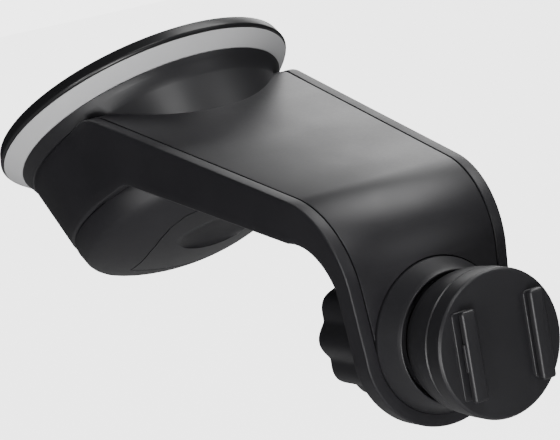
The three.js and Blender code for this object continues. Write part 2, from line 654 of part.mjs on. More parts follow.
function knobCap() {
  return turnedY([
    [0, 22.1], [8.8, 22.1], [8.8, KNOB_REAR - 0.2], [8.2, KNOB_REAR + 0.3], [4, KNOB_REAR + 0.9],
    [0, KNOB_REAR + 1.1],
  ]);
}

function knobWasher() {
  const low = LEG_THICKNESS + 0.1;
  return turnedY(closed([
    [BOLT_RADIUS + 0.3, low], [7, low], [7, low + 1.2], [BOLT_RADIUS + 0.3, low + 1.2],
  ]), 32);
}

// ---- finishes ----
const finishes = {
  blackShell: { color: 0x1f1e21, roughness: 0.55, metalness: 0 },
  blackCover: { color: 0x232226, roughness: 0.6, metalness: 0 },
  blackRubber: { color: 0x141416, roughness: 0.4, metalness: 0 },
  greyRing: { color: 0xa9a9ab, roughness: 0.6, metalness: 0 },
  darkPart: { color: 0x19191b, roughness: 0.5, metalness: 0 },
  nylon: { color: 0xd8d4c8, roughness: 0.5, metalness: 0 },
  steel: { color: 0xb4b6ba, roughness: 0.3, metalness: 1 },
  brass: { color: 0xc49a4a, roughness: 0.35, metalness: 1 },
};

function piece(parent, name, geometry, finish) {
  const mesh = new THREE.Mesh(geometry, new THREE.MeshStandardMaterial(finishes[finish]));
  mesh.name = name;
  parent.add(mesh);
  return mesh;
}

const whole = (geometry) => surface(solid(geometry));

// ---- assembly ----
const group = new THREE.Group();
group.add(armFrame);

piece(armFrame, "arm_shell", armShell(), "blackShell");
piece(armFrame, "arm_cover", armCover(), "blackCover");

piece(suctionFrame, "suction_pad", whole(suctionPad()), "blackRubber");
piece(suctionFrame, "pad_center", whole(padCenter()), "blackRubber");
piece(suctionFrame, "pad_ring", whole(padRing()), "greyRing");
piece(suctionFrame, "suction_dish", suctionDish(), "darkPart");
piece(suctionFrame, "mechanism_cover", mechanismCover(), "blackShell");
piece(suctionFrame, "wear_plate", whole(wearPlate()), "steel");
piece(suctionFrame, "pull_stem", stem(), "nylon");
piece(suctionFrame, "cam_lever", camLever(), "darkPart");
piece(suctionFrame, "lever_pin", whole(rodX(PIN_RADIUS, -15, 15, 0, -PIVOT_DEPTH)), "steel");
for (const [side, sign] of [["left", -1], ["right", 1]]) {
  const clip = cut(
    solid(rodX(3.4, 13, 13.8, 0, 0)),
    solid(rodX(PIN_RADIUS + 0.1, 10, 20, 0, 0)),
  );
  const mesh = piece(suctionFrame, `pin_clip_${side}`, surface(clip), "steel");
  mesh.position.set(0, 0, -PIVOT_DEPTH);
  if (sign < 0) mesh.rotation.z = Math.PI;
}
const footScrew = screwGeometry(2.9, 1.8, 1.5, 15.5);
screwSpots.forEach(([x, y], i) => {
  const screw = piece(suctionFrame, `foot_screw_${i + 1}`, footScrew.clone(), "steel");
  screw.position.set(x, y, -FLOOR_TOP + 0.1 - 15.5);
});
const coverScrew = screwGeometry(2.7, 1.6, 1.25, 7.2);
coverScrewSpots.forEach((spot, i) => {
  const mesh = piece(armFrame, `cover_screw_${i + 1}`, coverScrew.clone(), "steel");
  mesh.applyMatrix4(spot);
  mesh.translateZ(ARM_THICKNESS - 1.2 - 7.2);
});

piece(armFrame, "socket_collar", whole(socketCollar()), "darkPart");
piece(armFrame, "ball_shell", whole(ballShell()), "darkPart");
piece(armFrame, "friction_liner", whole(frictionLiner()), "nylon");
piece(armFrame, "pressure_washer", whole(pressureWasher()), "steel");
piece(armFrame, "clamp_bolt", clampBolt(), "steel");
piece(armFrame, "adapter_plate", adapterPlate(), "darkPart");
piece(armFrame, "knob_washer", whole(knobWasher()), "steel");
piece(armFrame, "clamping_knob", clampingKnob(), "darkPart");
piece(armFrame, "knob_insert", knobInsert(), "brass");
piece(armFrame, "knob_cap", whole(knobCap()), "darkPart");

export default group;
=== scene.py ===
"""Windscreen suction mount for a portable navigator: fine surfaces, finishes and a studio stage."""

import json
import math

import bmesh
import bpy
from bpy.props import FloatProperty, FloatVectorProperty, IntProperty, PointerProperty
from mathutils import Matrix, Vector


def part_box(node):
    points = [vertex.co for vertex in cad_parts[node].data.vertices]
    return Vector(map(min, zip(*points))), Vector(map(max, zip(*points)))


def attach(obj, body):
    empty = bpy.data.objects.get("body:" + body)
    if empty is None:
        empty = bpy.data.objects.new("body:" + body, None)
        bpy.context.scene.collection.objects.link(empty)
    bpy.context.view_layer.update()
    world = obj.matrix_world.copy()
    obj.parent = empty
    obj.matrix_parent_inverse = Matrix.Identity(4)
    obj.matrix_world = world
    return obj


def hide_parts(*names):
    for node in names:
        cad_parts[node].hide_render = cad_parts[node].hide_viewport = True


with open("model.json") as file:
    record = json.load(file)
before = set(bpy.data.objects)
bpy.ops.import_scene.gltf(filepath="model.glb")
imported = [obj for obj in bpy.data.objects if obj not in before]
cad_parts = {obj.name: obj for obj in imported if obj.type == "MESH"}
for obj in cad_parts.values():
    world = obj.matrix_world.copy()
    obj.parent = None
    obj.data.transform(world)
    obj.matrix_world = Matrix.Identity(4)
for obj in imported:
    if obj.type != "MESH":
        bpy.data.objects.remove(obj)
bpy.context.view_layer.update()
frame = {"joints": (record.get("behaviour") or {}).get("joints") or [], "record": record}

bl_info = {
    "name": "Windscreen Navigator Mount",
    "version": (1, 0, 0),
    "blender": (4, 5, 0),
    "location": "View3D > Sidebar > Navigator Mount",
    "description": "Builds the arm, suction foot, lever, ball joint and device plate with their finishes",
    "category": "Add Mesh",
}

MM = 0.001

RECORD = frame["record"]
BODY_OF = {node: body for body, nodes in RECORD["behaviour"]["bodies"].items() for node in nodes}
JOINTS = {joint["name"]: joint for joint in frame["joints"]}
MOUNTS = {mount["name"]: mount for mount in RECORD["mounts"]}

# Two fixed distances in millimetres. The other places are worked out from them and the frame.
PIVOT_DEPTH = 36.0  # the lever's pivot below the glass
BALL_CENTRE = -14.8  # the ball's centre in front of the arm's face
SUCTION_NORMAL = Vector(MOUNTS["suction_face"]["axis"]).normalized()
LEVER_PIVOT = Vector(JOINTS["lever_hinge"]["pos_m"])
ARM_FACE_Y = JOINTS["ball_roll"]["pos_m"][1] - BALL_CENTRE * MM
SUCTION_TILT = math.atan2(SUCTION_NORMAL.y, SUCTION_NORMAL.z)

TO_METRES = Matrix.Scale(MM, 4)
ARM_PLACE = Matrix.Translation((0, ARM_FACE_Y, 0)) @ TO_METRES
SUCTION_ORIGIN = LEVER_PIVOT + SUCTION_NORMAL * PIVOT_DEPTH * MM
FOOT_TURN = Matrix.Rotation(-SUCTION_TILT, 4, "X")
FOOT_PLACE = Matrix.Translation(SUCTION_ORIGIN) @ FOOT_TURN @ TO_METRES
FOOT_IN_ARM = ARM_PLACE.inverted() @ FOOT_PLACE


# ---- sizes and colours a user would change ----

def length(name, text, default):
    return FloatProperty(
        name=name, description=text, default=default, unit="LENGTH", subtype="DISTANCE", precision=5,
    )


def colour(name, text, default):
    return FloatVectorProperty(
        name=name, description=text, default=default, size=3, min=0, max=1, subtype="COLOR",
    )


class MountSizes(bpy.types.PropertyGroup):
    disc_radius: length(
        "Disc Radius", "Radius of the suction pad at its widest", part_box("suction_pad")[1].x,
    )
    plate_radius: length(
        "Plate Radius", "Radius of the device plate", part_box("adapter_plate")[1].x,
    )
    arm_end_radius: length("Arm End Radius", "Radius of the arm's round lower end", 0.0205)
    cover_inset: length("Cover Inset", "Width of the strip beside the inlaid cover", 0.003)
    seam: length("Seam", "Gap between neighbouring mouldings", 0.0003)
    edge_round: length("Edge Round", "Rounding of the arm's outer edges", 0.00055)
    lever_half_width: length("Lever Half Width", "Half the width of the lever panel", 0.017)
    ball_radius: length("Ball Radius", "Radius of the ball", 0.0162)
    knob_radius: length("Knob Radius", "Radius of the clamping knob over its lobes", 0.0158)
    knob_lobes: IntProperty(
        name="Knob Lobes", description="Finger grips round the knob", default=10, min=4, max=24,
    )
    tab_spacing: length("Tab Spacing", "Distance between the centres of the two tabs", 0.0185)
    tab_length: length("Tab Length", "Length of each tab", 0.020)
    tab_height: length("Tab Height", "How far each tab stands out of the plate", 0.00305)


class MountFinishes(bpy.types.PropertyGroup):
    shell: colour("Shell", "Arm and foot mouldings", (0.0190, 0.0182, 0.0212))
    cover: colour("Cover", "Inlaid cover of the arm", (0.0190, 0.0182, 0.0210))
    joint: colour("Joint", "Ball, collar, plate and knob", (0.0200, 0.0195, 0.0220))
    rubber: colour("Rubber", "Suction pad", (0.014, 0.014, 0.0150))
    ring: colour("Ring", "Grey ring under the pad", (0.70, 0.70, 0.71))
    nylon: colour("Nylon", "Pull stem and liner", (0.62, 0.60, 0.53))
    steel: colour("Steel", "Pin, screws, bolt and washers", (0.56, 0.57, 0.59))
    brass: colour("Brass", "Threaded insert", (0.62, 0.44, 0.19))
    grain_size: length("Grain Size", "Distance between bumps of the moulded grain", 0.00035)
    grain_depth: length("Grain Depth", "Height of the moulded grain", 0.000007)


def sizes():
    return bpy.context.scene.mount_sizes


def finishes():
    return bpy.context.scene.mount_finishes


def mm(value):
    return value / MM


# ---- mesh helpers, all in millimetres ----

def softened(corners, steps=3, ring=False):
    """Points of a profile whose corners (a, b, fillet) are rounded by their fillets."""
    points = []
    count = len(corners)
    for i, (a, b, fillet) in enumerate(corners):
        here = Vector((a, b))
        if not fillet or (not ring and i in (0, count - 1)):
            points.append(here)
            continue
        back = Vector(corners[i - 1][:2]) - here
        ahead = Vector(corners[(i + 1) % count][:2]) - here
        half = max(back.angle(ahead) / 2, 0.05)
        reach = min(fillet / math.tan(half), back.length * 0.48, ahead.length * 0.48)
        start = here + back.normalized() * reach
        end = here + ahead.normalized() * reach
        for k in range(steps + 1):
            t = k / steps
            points.append(start * (1 - t) ** 2 + here * (2 * t * (1 - t)) + end * t ** 2)
    return points


def turned(points, ring=False, steps=96, axis="Z"):
    """A profile of (radius, height) points spun a full turn about an axis."""
    bm = bmesh.new()
    along_z = axis == "Z"
    verts = [bm.verts.new((p[0], 0, p[1]) if along_z else (p[0], p[1], 0)) for p in points]
    pairs = list(zip(verts, verts[1:])) + ([(verts[-1], verts[0])] if ring else [])
    edges = [bm.edges.new(pair) for pair in pairs]
    bmesh.ops.spin(
        bm, geom=verts + edges, cent=(0, 0, 0), axis=(0, 0, 1) if along_z else (0, 1, 0),
        angle=2 * math.pi, steps=steps, use_merge=True, use_duplicate=False,
    )
    bmesh.ops.remove_doubles(bm, verts=bm.verts, dist=1e-4)
    bmesh.ops.recalc_face_normals(bm, faces=bm.faces)
    return bm


def prism(outline, low, high, axis="Z", bevel=0.0, segments=3):
    """An outline raised along an axis, with its end edges rounded."""
    bm = bmesh.new()
    place = {
        "X": lambda a, b: (low, a, b),
        "Y": lambda a, b: (a, low, b),
        "Z": lambda a, b: (a, b, low),
    }[axis]
    face = bm.faces.new([bm.verts.new(place(a, b)) for a, b in outline])
    step = Vector((axis == "X", axis == "Y", axis == "Z")) * (high - low)
    raised = bmesh.ops.extrude_face_region(bm, geom=[face])
    moved = [item for item in raised["geom"] if isinstance(item, bmesh.types.BMVert)]
    bmesh.ops.translate(bm, verts=moved, vec=step)
    bmesh.ops.recalc_face_normals(bm, faces=bm.faces)
    if bevel:
        index = "XYZ".index(axis)
        ends = [e for e in bm.edges if abs(e.verts[0].co[index] - e.verts[1].co[index]) < 1e-6]
        bmesh.ops.bevel(
            bm, geom=ends, offset=bevel, offset_type="OFFSET", affect="EDGES", segments=segments,
            profile=0.5, material=-1, clamp_overlap=True,
        )
    return bm


def ellipsoid(half, centre, tilt, around=48):
    """A closed ellipsoid with its half axes, centre and tilt about X."""
    bm = bmesh.new()
    bmesh.ops.create_uvsphere(bm, u_segments=around, v_segments=around // 2, radius=1)
    bmesh.ops.scale(bm, vec=half, verts=bm.verts)
    bmesh.ops.rotate(bm, cent=(0, 0, 0), matrix=Matrix.Rotation(tilt, 3, "X"), verts=bm.verts)
    bmesh.ops.translate(bm, vec=centre, verts=bm.verts)
    return bm


def rounded_box(low, high, radius, segments=3):
    """A box between two corners with all its edges rounded."""
    bm = bmesh.new()
    bmesh.ops.create_cube(bm, size=1)
    low, high = Vector(low), Vector(high)
    bmesh.ops.scale(bm, vec=high - low, verts=bm.verts)
    bmesh.ops.translate(bm, vec=(low + high) / 2, verts=bm.verts)
    bmesh.ops.bevel(
        bm, geom=bm.edges[:], offset=radius, offset_type="OFFSET", affect="EDGES", segments=segments,
        profile=0.5, material=-1, clamp_overlap=True,
    )
    return bm


def joined(*parts):
    """Separate closed shapes kept in one mesh."""
    whole = parts[0]
    for part in parts[1:]:
        mesh = bpy.data.meshes.new("joining")
        part.to_mesh(mesh)
        part.free()
        whole.from_mesh(mesh)
        bpy.data.meshes.remove(mesh)
    return whole


def combined(shape, tool, operation):
    """The boolean of two closed shapes, by Blender's exact solver."""
    made = []
    for part in (shape, tool):
        bmesh.ops.recalc_face_normals(part, faces=part.faces)
        mesh = bpy.data.meshes.new("boolean")
        part.to_mesh(mesh)
        part.free()
        made.append(bpy.data.objects.new("boolean", mesh))
        bpy.context.scene.collection.objects.link(made[-1])
    modifier = made[0].modifiers.new("cut", "BOOLEAN")
    modifier.object = made[1]
    modifier.operation = operation
    modifier.solver = "EXACT"
    modifier.use_self = True
    bpy.context.view_layer.update()
    result = bmesh.new()
    result.from_object(made[0], bpy.context.evaluated_depsgraph_get())
    for item in made:
        mesh = item.data
        bpy.data.objects.remove(item)
        bpy.data.meshes.remove(mesh)
    if not result.faces:
        raise RuntimeError("a boolean left nothing")
    bmesh.ops.remove_doubles(result, verts=result.verts, dist=1e-4)
    return result


def without(shape, *tools):
    """A closed shape with each tool cut out of it."""
    for tool in tools:
        shape = combined(shape, tool, "DIFFERENCE")
    return shape


def drawn_on(bm, row, places):
    """Extrudes a closed row of vertices once, moves the new row to its places and returns it."""
    edges = [bm.edges.get(pair) or bm.edges.new(pair) for pair in zip(row, row[1:] + row[:1])]
    made = bmesh.ops.extrude_edge_only(bm, edges=edges)
    fresh = {item for item in made["geom"] if isinstance(item, bmesh.types.BMVert)}
    following = [
        next(edge.other_vert(vert) for edge in vert.link_edges if edge.other_vert(vert) in fresh)
        for vert in row
    ]
    for vert, place in zip(following, places):
        vert.co = place
    return following


def add_piece(name, node, bm, place, material, sharp=32):
    """Puts a finished shape in the frame, in place of its CAD node and on that node's body."""
    bmesh.ops.transform(bm, matrix=place, verts=bm.verts)
    bmesh.ops.recalc_face_normals(bm, faces=bm.faces)
    mesh = bpy.data.meshes.new(name)
    bm.to_mesh(mesh)
    bm.free()
    mesh.materials.append(material)
    mesh.polygons.foreach_set("use_smooth", [True] * len(mesh.polygons))
    mesh.set_sharp_from_angle(angle=math.radians(sharp))
    piece = bpy.data.objects.new(name, mesh)
    bpy.context.scene.collection.objects.link(piece)
    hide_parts(node)
    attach(piece, BODY_OF[node])
    return piece


# ---- shader node groups ----

def new_group(name, inputs, outputs):
    tree = bpy.data.node_groups.new(name, "ShaderNodeTree")
    for label, kind, default in inputs:
        socket = tree.interface.new_socket(name=label, in_out="INPUT", socket_type=kind)
        if default is not None:
            socket.default_value = default
    for label, kind in outputs:
        tree.interface.new_socket(name=label, in_out="OUTPUT", socket_type=kind)
    return tree, tree.nodes.new("NodeGroupInput"), tree.nodes.new("NodeGroupOutput")


def math_node(tree, operation, a, b=None, c=None, clamp=False):
    node = tree.nodes.new("ShaderNodeMath")
    node.operation = operation
    node.use_clamp = clamp
    for socket, value in zip(node.inputs, (a, b, c)):
        if value is None:
            continue
        if isinstance(value, (int, float)):
            socket.default_value = value
        else:
            tree.links.new(value, socket)
    return node.outputs[0]


def noise_node(tree, vector, scale, detail=2.0, roughness=0.5):
    node = tree.nodes.new("ShaderNodeTexNoise")
    tree.links.new(vector, node.inputs["Vector"])
    if isinstance(scale, (int, float)):
        node.inputs["Scale"].default_value = scale
    else:
        tree.links.new(scale, node.inputs["Scale"])
    node.inputs["Detail"].default_value = detail
    node.inputs["Roughness"].default_value = roughness
    return node.outputs["Fac"]


def moulded_grain():
    """Spark-eroded grain of a moulded face: fine bumps with slow changes of tone."""
    if "Moulded Grain" in bpy.data.node_groups:
        return bpy.data.node_groups["Moulded Grain"]
    tree, given, out = new_group(
        "Moulded Grain",
        [("Vector", "NodeSocketVector", None), ("Density", "NodeSocketFloat", 2800.0),
         ("Unevenness", "NodeSocketFloat", 0.5)],
        [("Height", "NodeSocketFloat"), ("Tone", "NodeSocketFloat"), ("Gloss", "NodeSocketFloat")],
    )
    vector = given.outputs["Vector"]
    cells = tree.nodes.new("ShaderNodeTexVoronoi")
    cells.feature = "SMOOTH_F1"
    tree.links.new(vector, cells.inputs["Vector"])
    tree.links.new(given.outputs["Density"], cells.inputs["Scale"])
    coarse = math_node(tree, "MULTIPLY", given.outputs["Density"], 0.45)
    bumps = noise_node(tree, vector, coarse, 3.0, 0.6)
    small = math_node(tree, "MULTIPLY", bumps, 0.6)
    height = math_node(tree, "MULTIPLY_ADD", cells.outputs["Distance"], 0.55, small)
    flow = noise_node(tree, vector, 38.0, 3.0, 0.55)
    slow = math_node(tree, "SUBTRACT", flow, 0.5)
    fine = math_node(tree, "SUBTRACT", bumps, 0.5)
    mixed = math_node(tree, "MULTIPLY_ADD", fine, 0.5, slow)
    tone = math_node(tree, "MULTIPLY_ADD", mixed, given.outputs["Unevenness"], 1.0)
    gloss = math_node(tree, "MULTIPLY_ADD", slow, 0.22, math_node(tree, "MULTIPLY", fine, 0.10))
    tree.links.new(height, out.inputs["Height"])
    tree.links.new(tone, out.inputs["Tone"])
    tree.links.new(gloss, out.inputs["Gloss"])
    return tree


def handling_marks():
    """Faint rubbed patches and hairline scratches of a handled surface."""
    if "Handling Marks" in bpy.data.node_groups:
        return bpy.data.node_groups["Handling Marks"]
    tree, given, out = new_group(
        "Handling Marks",
        [("Vector", "NodeSocketVector", None), ("Patch Scale", "NodeSocketFloat", PATCH_SCALE),
         ("Amount", "NodeSocketFloat", 0.5)],
        [("Rub", "NodeSocketFloat"), ("Scratch", "NodeSocketFloat")],
    )
    vector = given.outputs["Vector"]
    patches = noise_node(tree, vector, given.outputs["Patch Scale"], 4.0, 0.6)
    steep = math_node(tree, "MULTIPLY_ADD", patches, 5.0, -2.7, clamp=True)
    rub = math_node(tree, "MULTIPLY", steep, given.outputs["Amount"])
    turn = tree.nodes.new("ShaderNodeMapping")
    turn.inputs["Rotation"].default_value = (0.6, 0.3, 0.9)
    turn.inputs["Scale"].default_value = (1.0, 24.0, 1.0)
    tree.links.new(vector, turn.inputs["Vector"])
    lines = noise_node(tree, turn.outputs["Vector"], 120.0, 1.0, 0.4)
    narrow = math_node(tree, "ABSOLUTE", math_node(tree, "SUBTRACT", lines, 0.5))
    line = math_node(tree, "SUBTRACT", 1.0, math_node(tree, "MULTIPLY", narrow, 60.0), clamp=True)
    scratch = math_node(tree, "MULTIPLY", line, rub)
    tree.links.new(rub, out.inputs["Rub"])
    tree.links.new(scratch, out.inputs["Scratch"])
    return tree


def place_group(tree, group, values):
    node = tree.nodes.new("ShaderNodeGroup")
    node.node_tree = group
    for label, value in values.items():
        if isinstance(value, (int, float)):
            node.inputs[label].default_value = value
        else:
            tree.links.new(value, node.inputs[label])
    return node


PATCH_SCALE = 45.0


def finish_material(name, base, roughness, density, depth, uneven, marks=0.25, specular=0.5, metallic=0.0):
    """A procedural finish: base colour varied by tone, roughness by gloss and rub, height by grain."""
    if name in bpy.data.materials:
        return bpy.data.materials[name]
    material = bpy.data.materials.new(name)
    material.use_nodes = True
    tree = material.node_tree
    shader = next(node for node in tree.nodes if node.type == "BSDF_PRINCIPLED")
    where = tree.nodes.new("ShaderNodeTexCoord").outputs["Object"]
    grain = place_group(
        tree, moulded_grain(), {"Vector": where, "Density": density, "Unevenness": uneven},
    )
    wear = place_group(
        tree, handling_marks(), {"Vector": where, "Patch Scale": PATCH_SCALE, "Amount": marks},
    )
    tint = tree.nodes.new("ShaderNodeVectorMath")
    tint.operation = "SCALE"
    tint.inputs[0].default_value = base
    lifted = math_node(tree, "MULTIPLY_ADD", wear.outputs["Rub"], 0.18, grain.outputs["Tone"])
    tree.links.new(lifted, tint.inputs["Scale"])
    tree.links.new(tint.outputs["Vector"], shader.inputs["Base Color"])
    rough = math_node(tree, "ADD", grain.outputs["Gloss"], roughness)
    rough = math_node(tree, "MULTIPLY_ADD", wear.outputs["Rub"], -0.12, rough)
    rough = math_node(tree, "MULTIPLY_ADD", wear.outputs["Scratch"], 0.15, rough, clamp=True)
    tree.links.new(rough, shader.inputs["Roughness"])
    shader.inputs["Metallic"].default_value = metallic
    shader.inputs["Specular IOR Level"].default_value = specular
    bump = tree.nodes.new("ShaderNodeBump")
    bump.inputs["Strength"].default_value = 1.0
    bump.inputs["Distance"].default_value = depth
    tree.links.new(grain.outputs["Height"], bump.inputs["Height"])
    tree.links.new(bump.outputs["Normal"], shader.inputs["Normal"])
    return material


def shell_finish():
    return finish_material(
        "moulded_shell_black", finishes().shell, 0.44, density=1 / finishes().grain_size,
        depth=finishes().grain_depth, uneven=0.5,
    )


def cover_finish():
    return finish_material(
        "moulded_cover_black", finishes().cover, 0.40, density=1 / finishes().grain_size,
        depth=finishes().grain_depth * 1.2, uneven=0.6, specular=0.6,
    )


def joint_finish():
    return finish_material(
        "moulded_joint_black", finishes().joint, 0.42, density=4200.0, depth=0.000003, uneven=0.35,
        specular=0.6,
    )


def knob_finish():
    return finish_material(
        "moulded_knob_black", finishes().joint, 0.46, density=3600.0, depth=0.000006, uneven=0.4,
    )


def rubber_finish():
    return finish_material(
        "moulded_pad_rubber", finishes().rubber, 0.33, density=5200.0, depth=0.000002, uneven=0.3,
        marks=0.35,
    )


def ring_finish():
    return finish_material(
        "moulded_ring_grey", finishes().ring, 0.52, density=4200.0, depth=0.000003, uneven=0.06,
        marks=0.15,
    )


def nylon_finish():
    return finish_material(
        "moulded_nylon", finishes().nylon, 0.42, density=3600.0, depth=0.000008, uneven=0.08,
    )


def steel_finish():
    return finish_material(
        "zinc_steel", finishes().steel, 0.30, density=5200.0, depth=0.000005, uneven=0.25, marks=0.5,
        metallic=1.0,
    )


def brass_finish():
    return finish_material(
        "turned_brass", finishes().brass, 0.28, density=5200.0, depth=0.000004, uneven=0.2, marks=0.4,
        metallic=1.0,
    )


# ---- the arm's path, in the arm's own frame: y back, z up, origin on the ball axis ----

ARM_SLOPE = math.radians(14.48)
BEND_RADIUS = 21.0
BEND_START = 15.03
BEND_TURN = math.pi / 2 - ARM_SLOPE
BEND_END = BEND_START + BEND_RADIUS * BEND_TURN
ALONG = Vector((math.cos(ARM_SLOPE), math.sin(ARM_SLOPE)))
OUTWARD = Vector((-math.sin(ARM_SLOPE), math.cos(ARM_SLOPE)))
BEND_POINT = Vector((BEND_RADIUS * (1 + OUTWARD.x), BEND_START + BEND_RADIUS * OUTWARD.y))
ARM_TAPER = 0.1717  # growth of the width per millimetre along the arm
LEG_THICKNESS = 5.95
ARM_THICKNESS = 10.3  # where the bend ends
REAR_THICKNESS = 13.4
THICKENING = 65  # the length over which the upper arm grows thicker
RIM_DEPTH = 10.6  # upper rim of the round foot, below the glass
FOOT_DEPTH = 29.0  # lower rim of the round foot
RIM_RADIUS = 34.3
FOOT_DRAFT = 0.17  # loss of radius per millimetre of depth
WALL = 2.3
SIDE_ROWS = 7
BEND_ROWS = 26
POCKET_DEPTH = 1.8  # for the inlaid cover
COVER_THICKNESS = 1.5


def on_arm(distance, depth):
    """The (y, z) at a distance along the outer face and a depth inside it."""
    if distance <= BEND_START:
        return Vector((depth, distance))
    if distance >= BEND_END:
        return BEND_POINT + ALONG * (distance - BEND_END) - OUTWARD * depth
    angle = math.pi - (distance - BEND_START) / BEND_RADIUS
    radius = BEND_RADIUS - depth
    return Vector((BEND_RADIUS + radius * math.cos(angle), BEND_START + radius * math.sin(angle)))


def distance_of(y, z):
    """How far along the outer face a point of the arm lies."""
    run = (Vector((y, z)) - BEND_POINT).dot(ALONG)
    if run >= 0:
        return BEND_END + run
    if z <= BEND_START:
        return z
    angle = math.pi - math.atan2(z - BEND_START, y - BEND_RADIUS)
    return BEND_START + min(max(angle, 0), BEND_TURN) * BEND_RADIUS


def side_line(distance):
    """Half the width of the straight flank."""
    return mm(sizes().arm_end_radius) + ARM_TAPER * max(distance, 0) / 2


def arm_thickness(distance):
    if distance <= BEND_START:
        return LEG_THICKNESS
    if distance < BEND_END:
        share = (distance - BEND_START) / (BEND_END - BEND_START)
        return LEG_THICKNESS + (ARM_THICKNESS - LEG_THICKNESS) * share
    share = min((distance - BEND_END) / THICKENING, 1)
    return ARM_THICKNESS + (REAR_THICKNESS - ARM_THICKNESS) * share


def bend_distances(end, rows=6):
    """Stations through the bend and on to a distance along the straight arm."""
    bend = [BEND_START + (BEND_END - BEND_START) * k / BEND_ROWS for k in range(1, BEND_ROWS + 1)]
    return bend + [BEND_END + (end - BEND_END) * k / rows for k in range(1, rows + 1)]


def drum_radius(depth):
    return RIM_RADIUS - (depth - RIM_DEPTH) * FOOT_DRAFT


def foot_point(back, depth):
    """The (y, z) in the arm's frame of a point of the foot's middle plane."""
    point = FOOT_IN_ARM @ Vector((0, back, -depth))
    return Vector((point.y, point.z))


def foot_coordinates(y, z):
    """How far back and how deep in the foot's frame a point of the arm's middle plane lies."""
    point = FOOT_IN_ARM.inverted() @ Vector((0, y, z))
    return point.y, -point.z


def smooth_larger(a, b, blend=0.7):
    """The larger of two lengths, with a soft change from one to the other."""
    high, low = max(a, b), min(a, b)
    return high + blend * math.log(1 + math.exp((low - high) / blend))


def half_width_at(y, z):
    """Half the arm's width at a point of its side: the straight flank, flaring into the round foot."""
    line = side_line(distance_of(y, z))
    back, depth = foot_coordinates(y, z)
    radius = drum_radius(max(depth, RIM_DEPTH))
    if back < -radius * 0.96:
        return line
    circle = math.sqrt(max(radius * radius - back * back, 0))
    if circle < line - 8:
        return line
    return smooth_larger(line, circle)


def rim_path():
    """Top and bottom points of the flank from the straight arm to the foot's middle."""
    corner = foot_point(0, RIM_DEPTH)
    down = (foot_point(10, RIM_DEPTH) - corner).normalized()
    # Where the arm's top line meets the rim's plane.
    reach = (corner - BEND_POINT).dot(OUTWARD) / down.dot(OUTWARD)
    meeting = corner - down * reach
    fillet = 11.0
    turn = math.acos(max(min(ALONG.dot(down), 1), -1))
    tangent = fillet * math.tan(turn / 2)
    start, end = meeting - ALONG * tangent, meeting + down * tangent
    tops = [BEND_POINT + ALONG * ((start - BEND_POINT).dot(ALONG) * k) for k in (0.86, 0.93)]
    for k in range(9):
        t = k / 8
        tops.append(start * (1 - t) ** 2 + meeting * (2 * t * (1 - t)) + end * t ** 2)
    tops += [end.lerp(corner, k / 5) for k in range(1, 6)]
    under_marks = softened([
        (*on_arm(96, arm_thickness(96)), 0), (*foot_point(-27.4, 32.9), 7),
        (*foot_point(-24.6, 31.2), 16), (*foot_point(-11.0, FOOT_DEPTH), 20),
        (*foot_point(0, FOOT_DEPTH), 0),
    ], 6)
    lengths = [0.0]
    for a, b in zip(under_marks, under_marks[1:]):
        lengths.append(lengths[-1] + (b - a).length)
    bottoms = []
    for i in range(len(tops)):
        wanted = lengths[-1] * i / (len(tops) - 1)
        k = max(j for j in range(len(lengths) - 1) if lengths[j] <= wanted + 1e-9)
        share = (wanted - lengths[k]) / (lengths[k + 1] - lengths[k])
        bottoms.append(under_marks[k].lerp(under_marks[k + 1], min(share, 1)))
    return list(zip(tops, bottoms))


def section_plan(tall, strip, edge):
    """One half of the arm's section, as (inset from the flank or None for the middle, depth)."""
    low_edge = min(0.9, tall * 0.2)
    plan = [
        (None, POCKET_DEPTH), (strip, POCKET_DEPTH), (strip, 0.16), (strip - 0.16, 0.0), (edge, 0.0),
    ]
    for angle in (30, 60, 90):
        turn = math.radians(angle)
        plan.append((edge * (1 - math.sin(turn)), edge * (1 - math.cos(turn))))
    for row in range(1, SIDE_ROWS + 1):
        plan.append((0.0, edge + (tall - edge - low_edge) * row / (SIDE_ROWS + 1)))
    for angle in (0, 30, 60, 90):
        turn = math.radians(angle)
        plan.append((low_edge * (1 - math.cos(turn)), tall - low_edge * (1 - math.sin(turn))))
    plan.append((None, tall))
    return plan


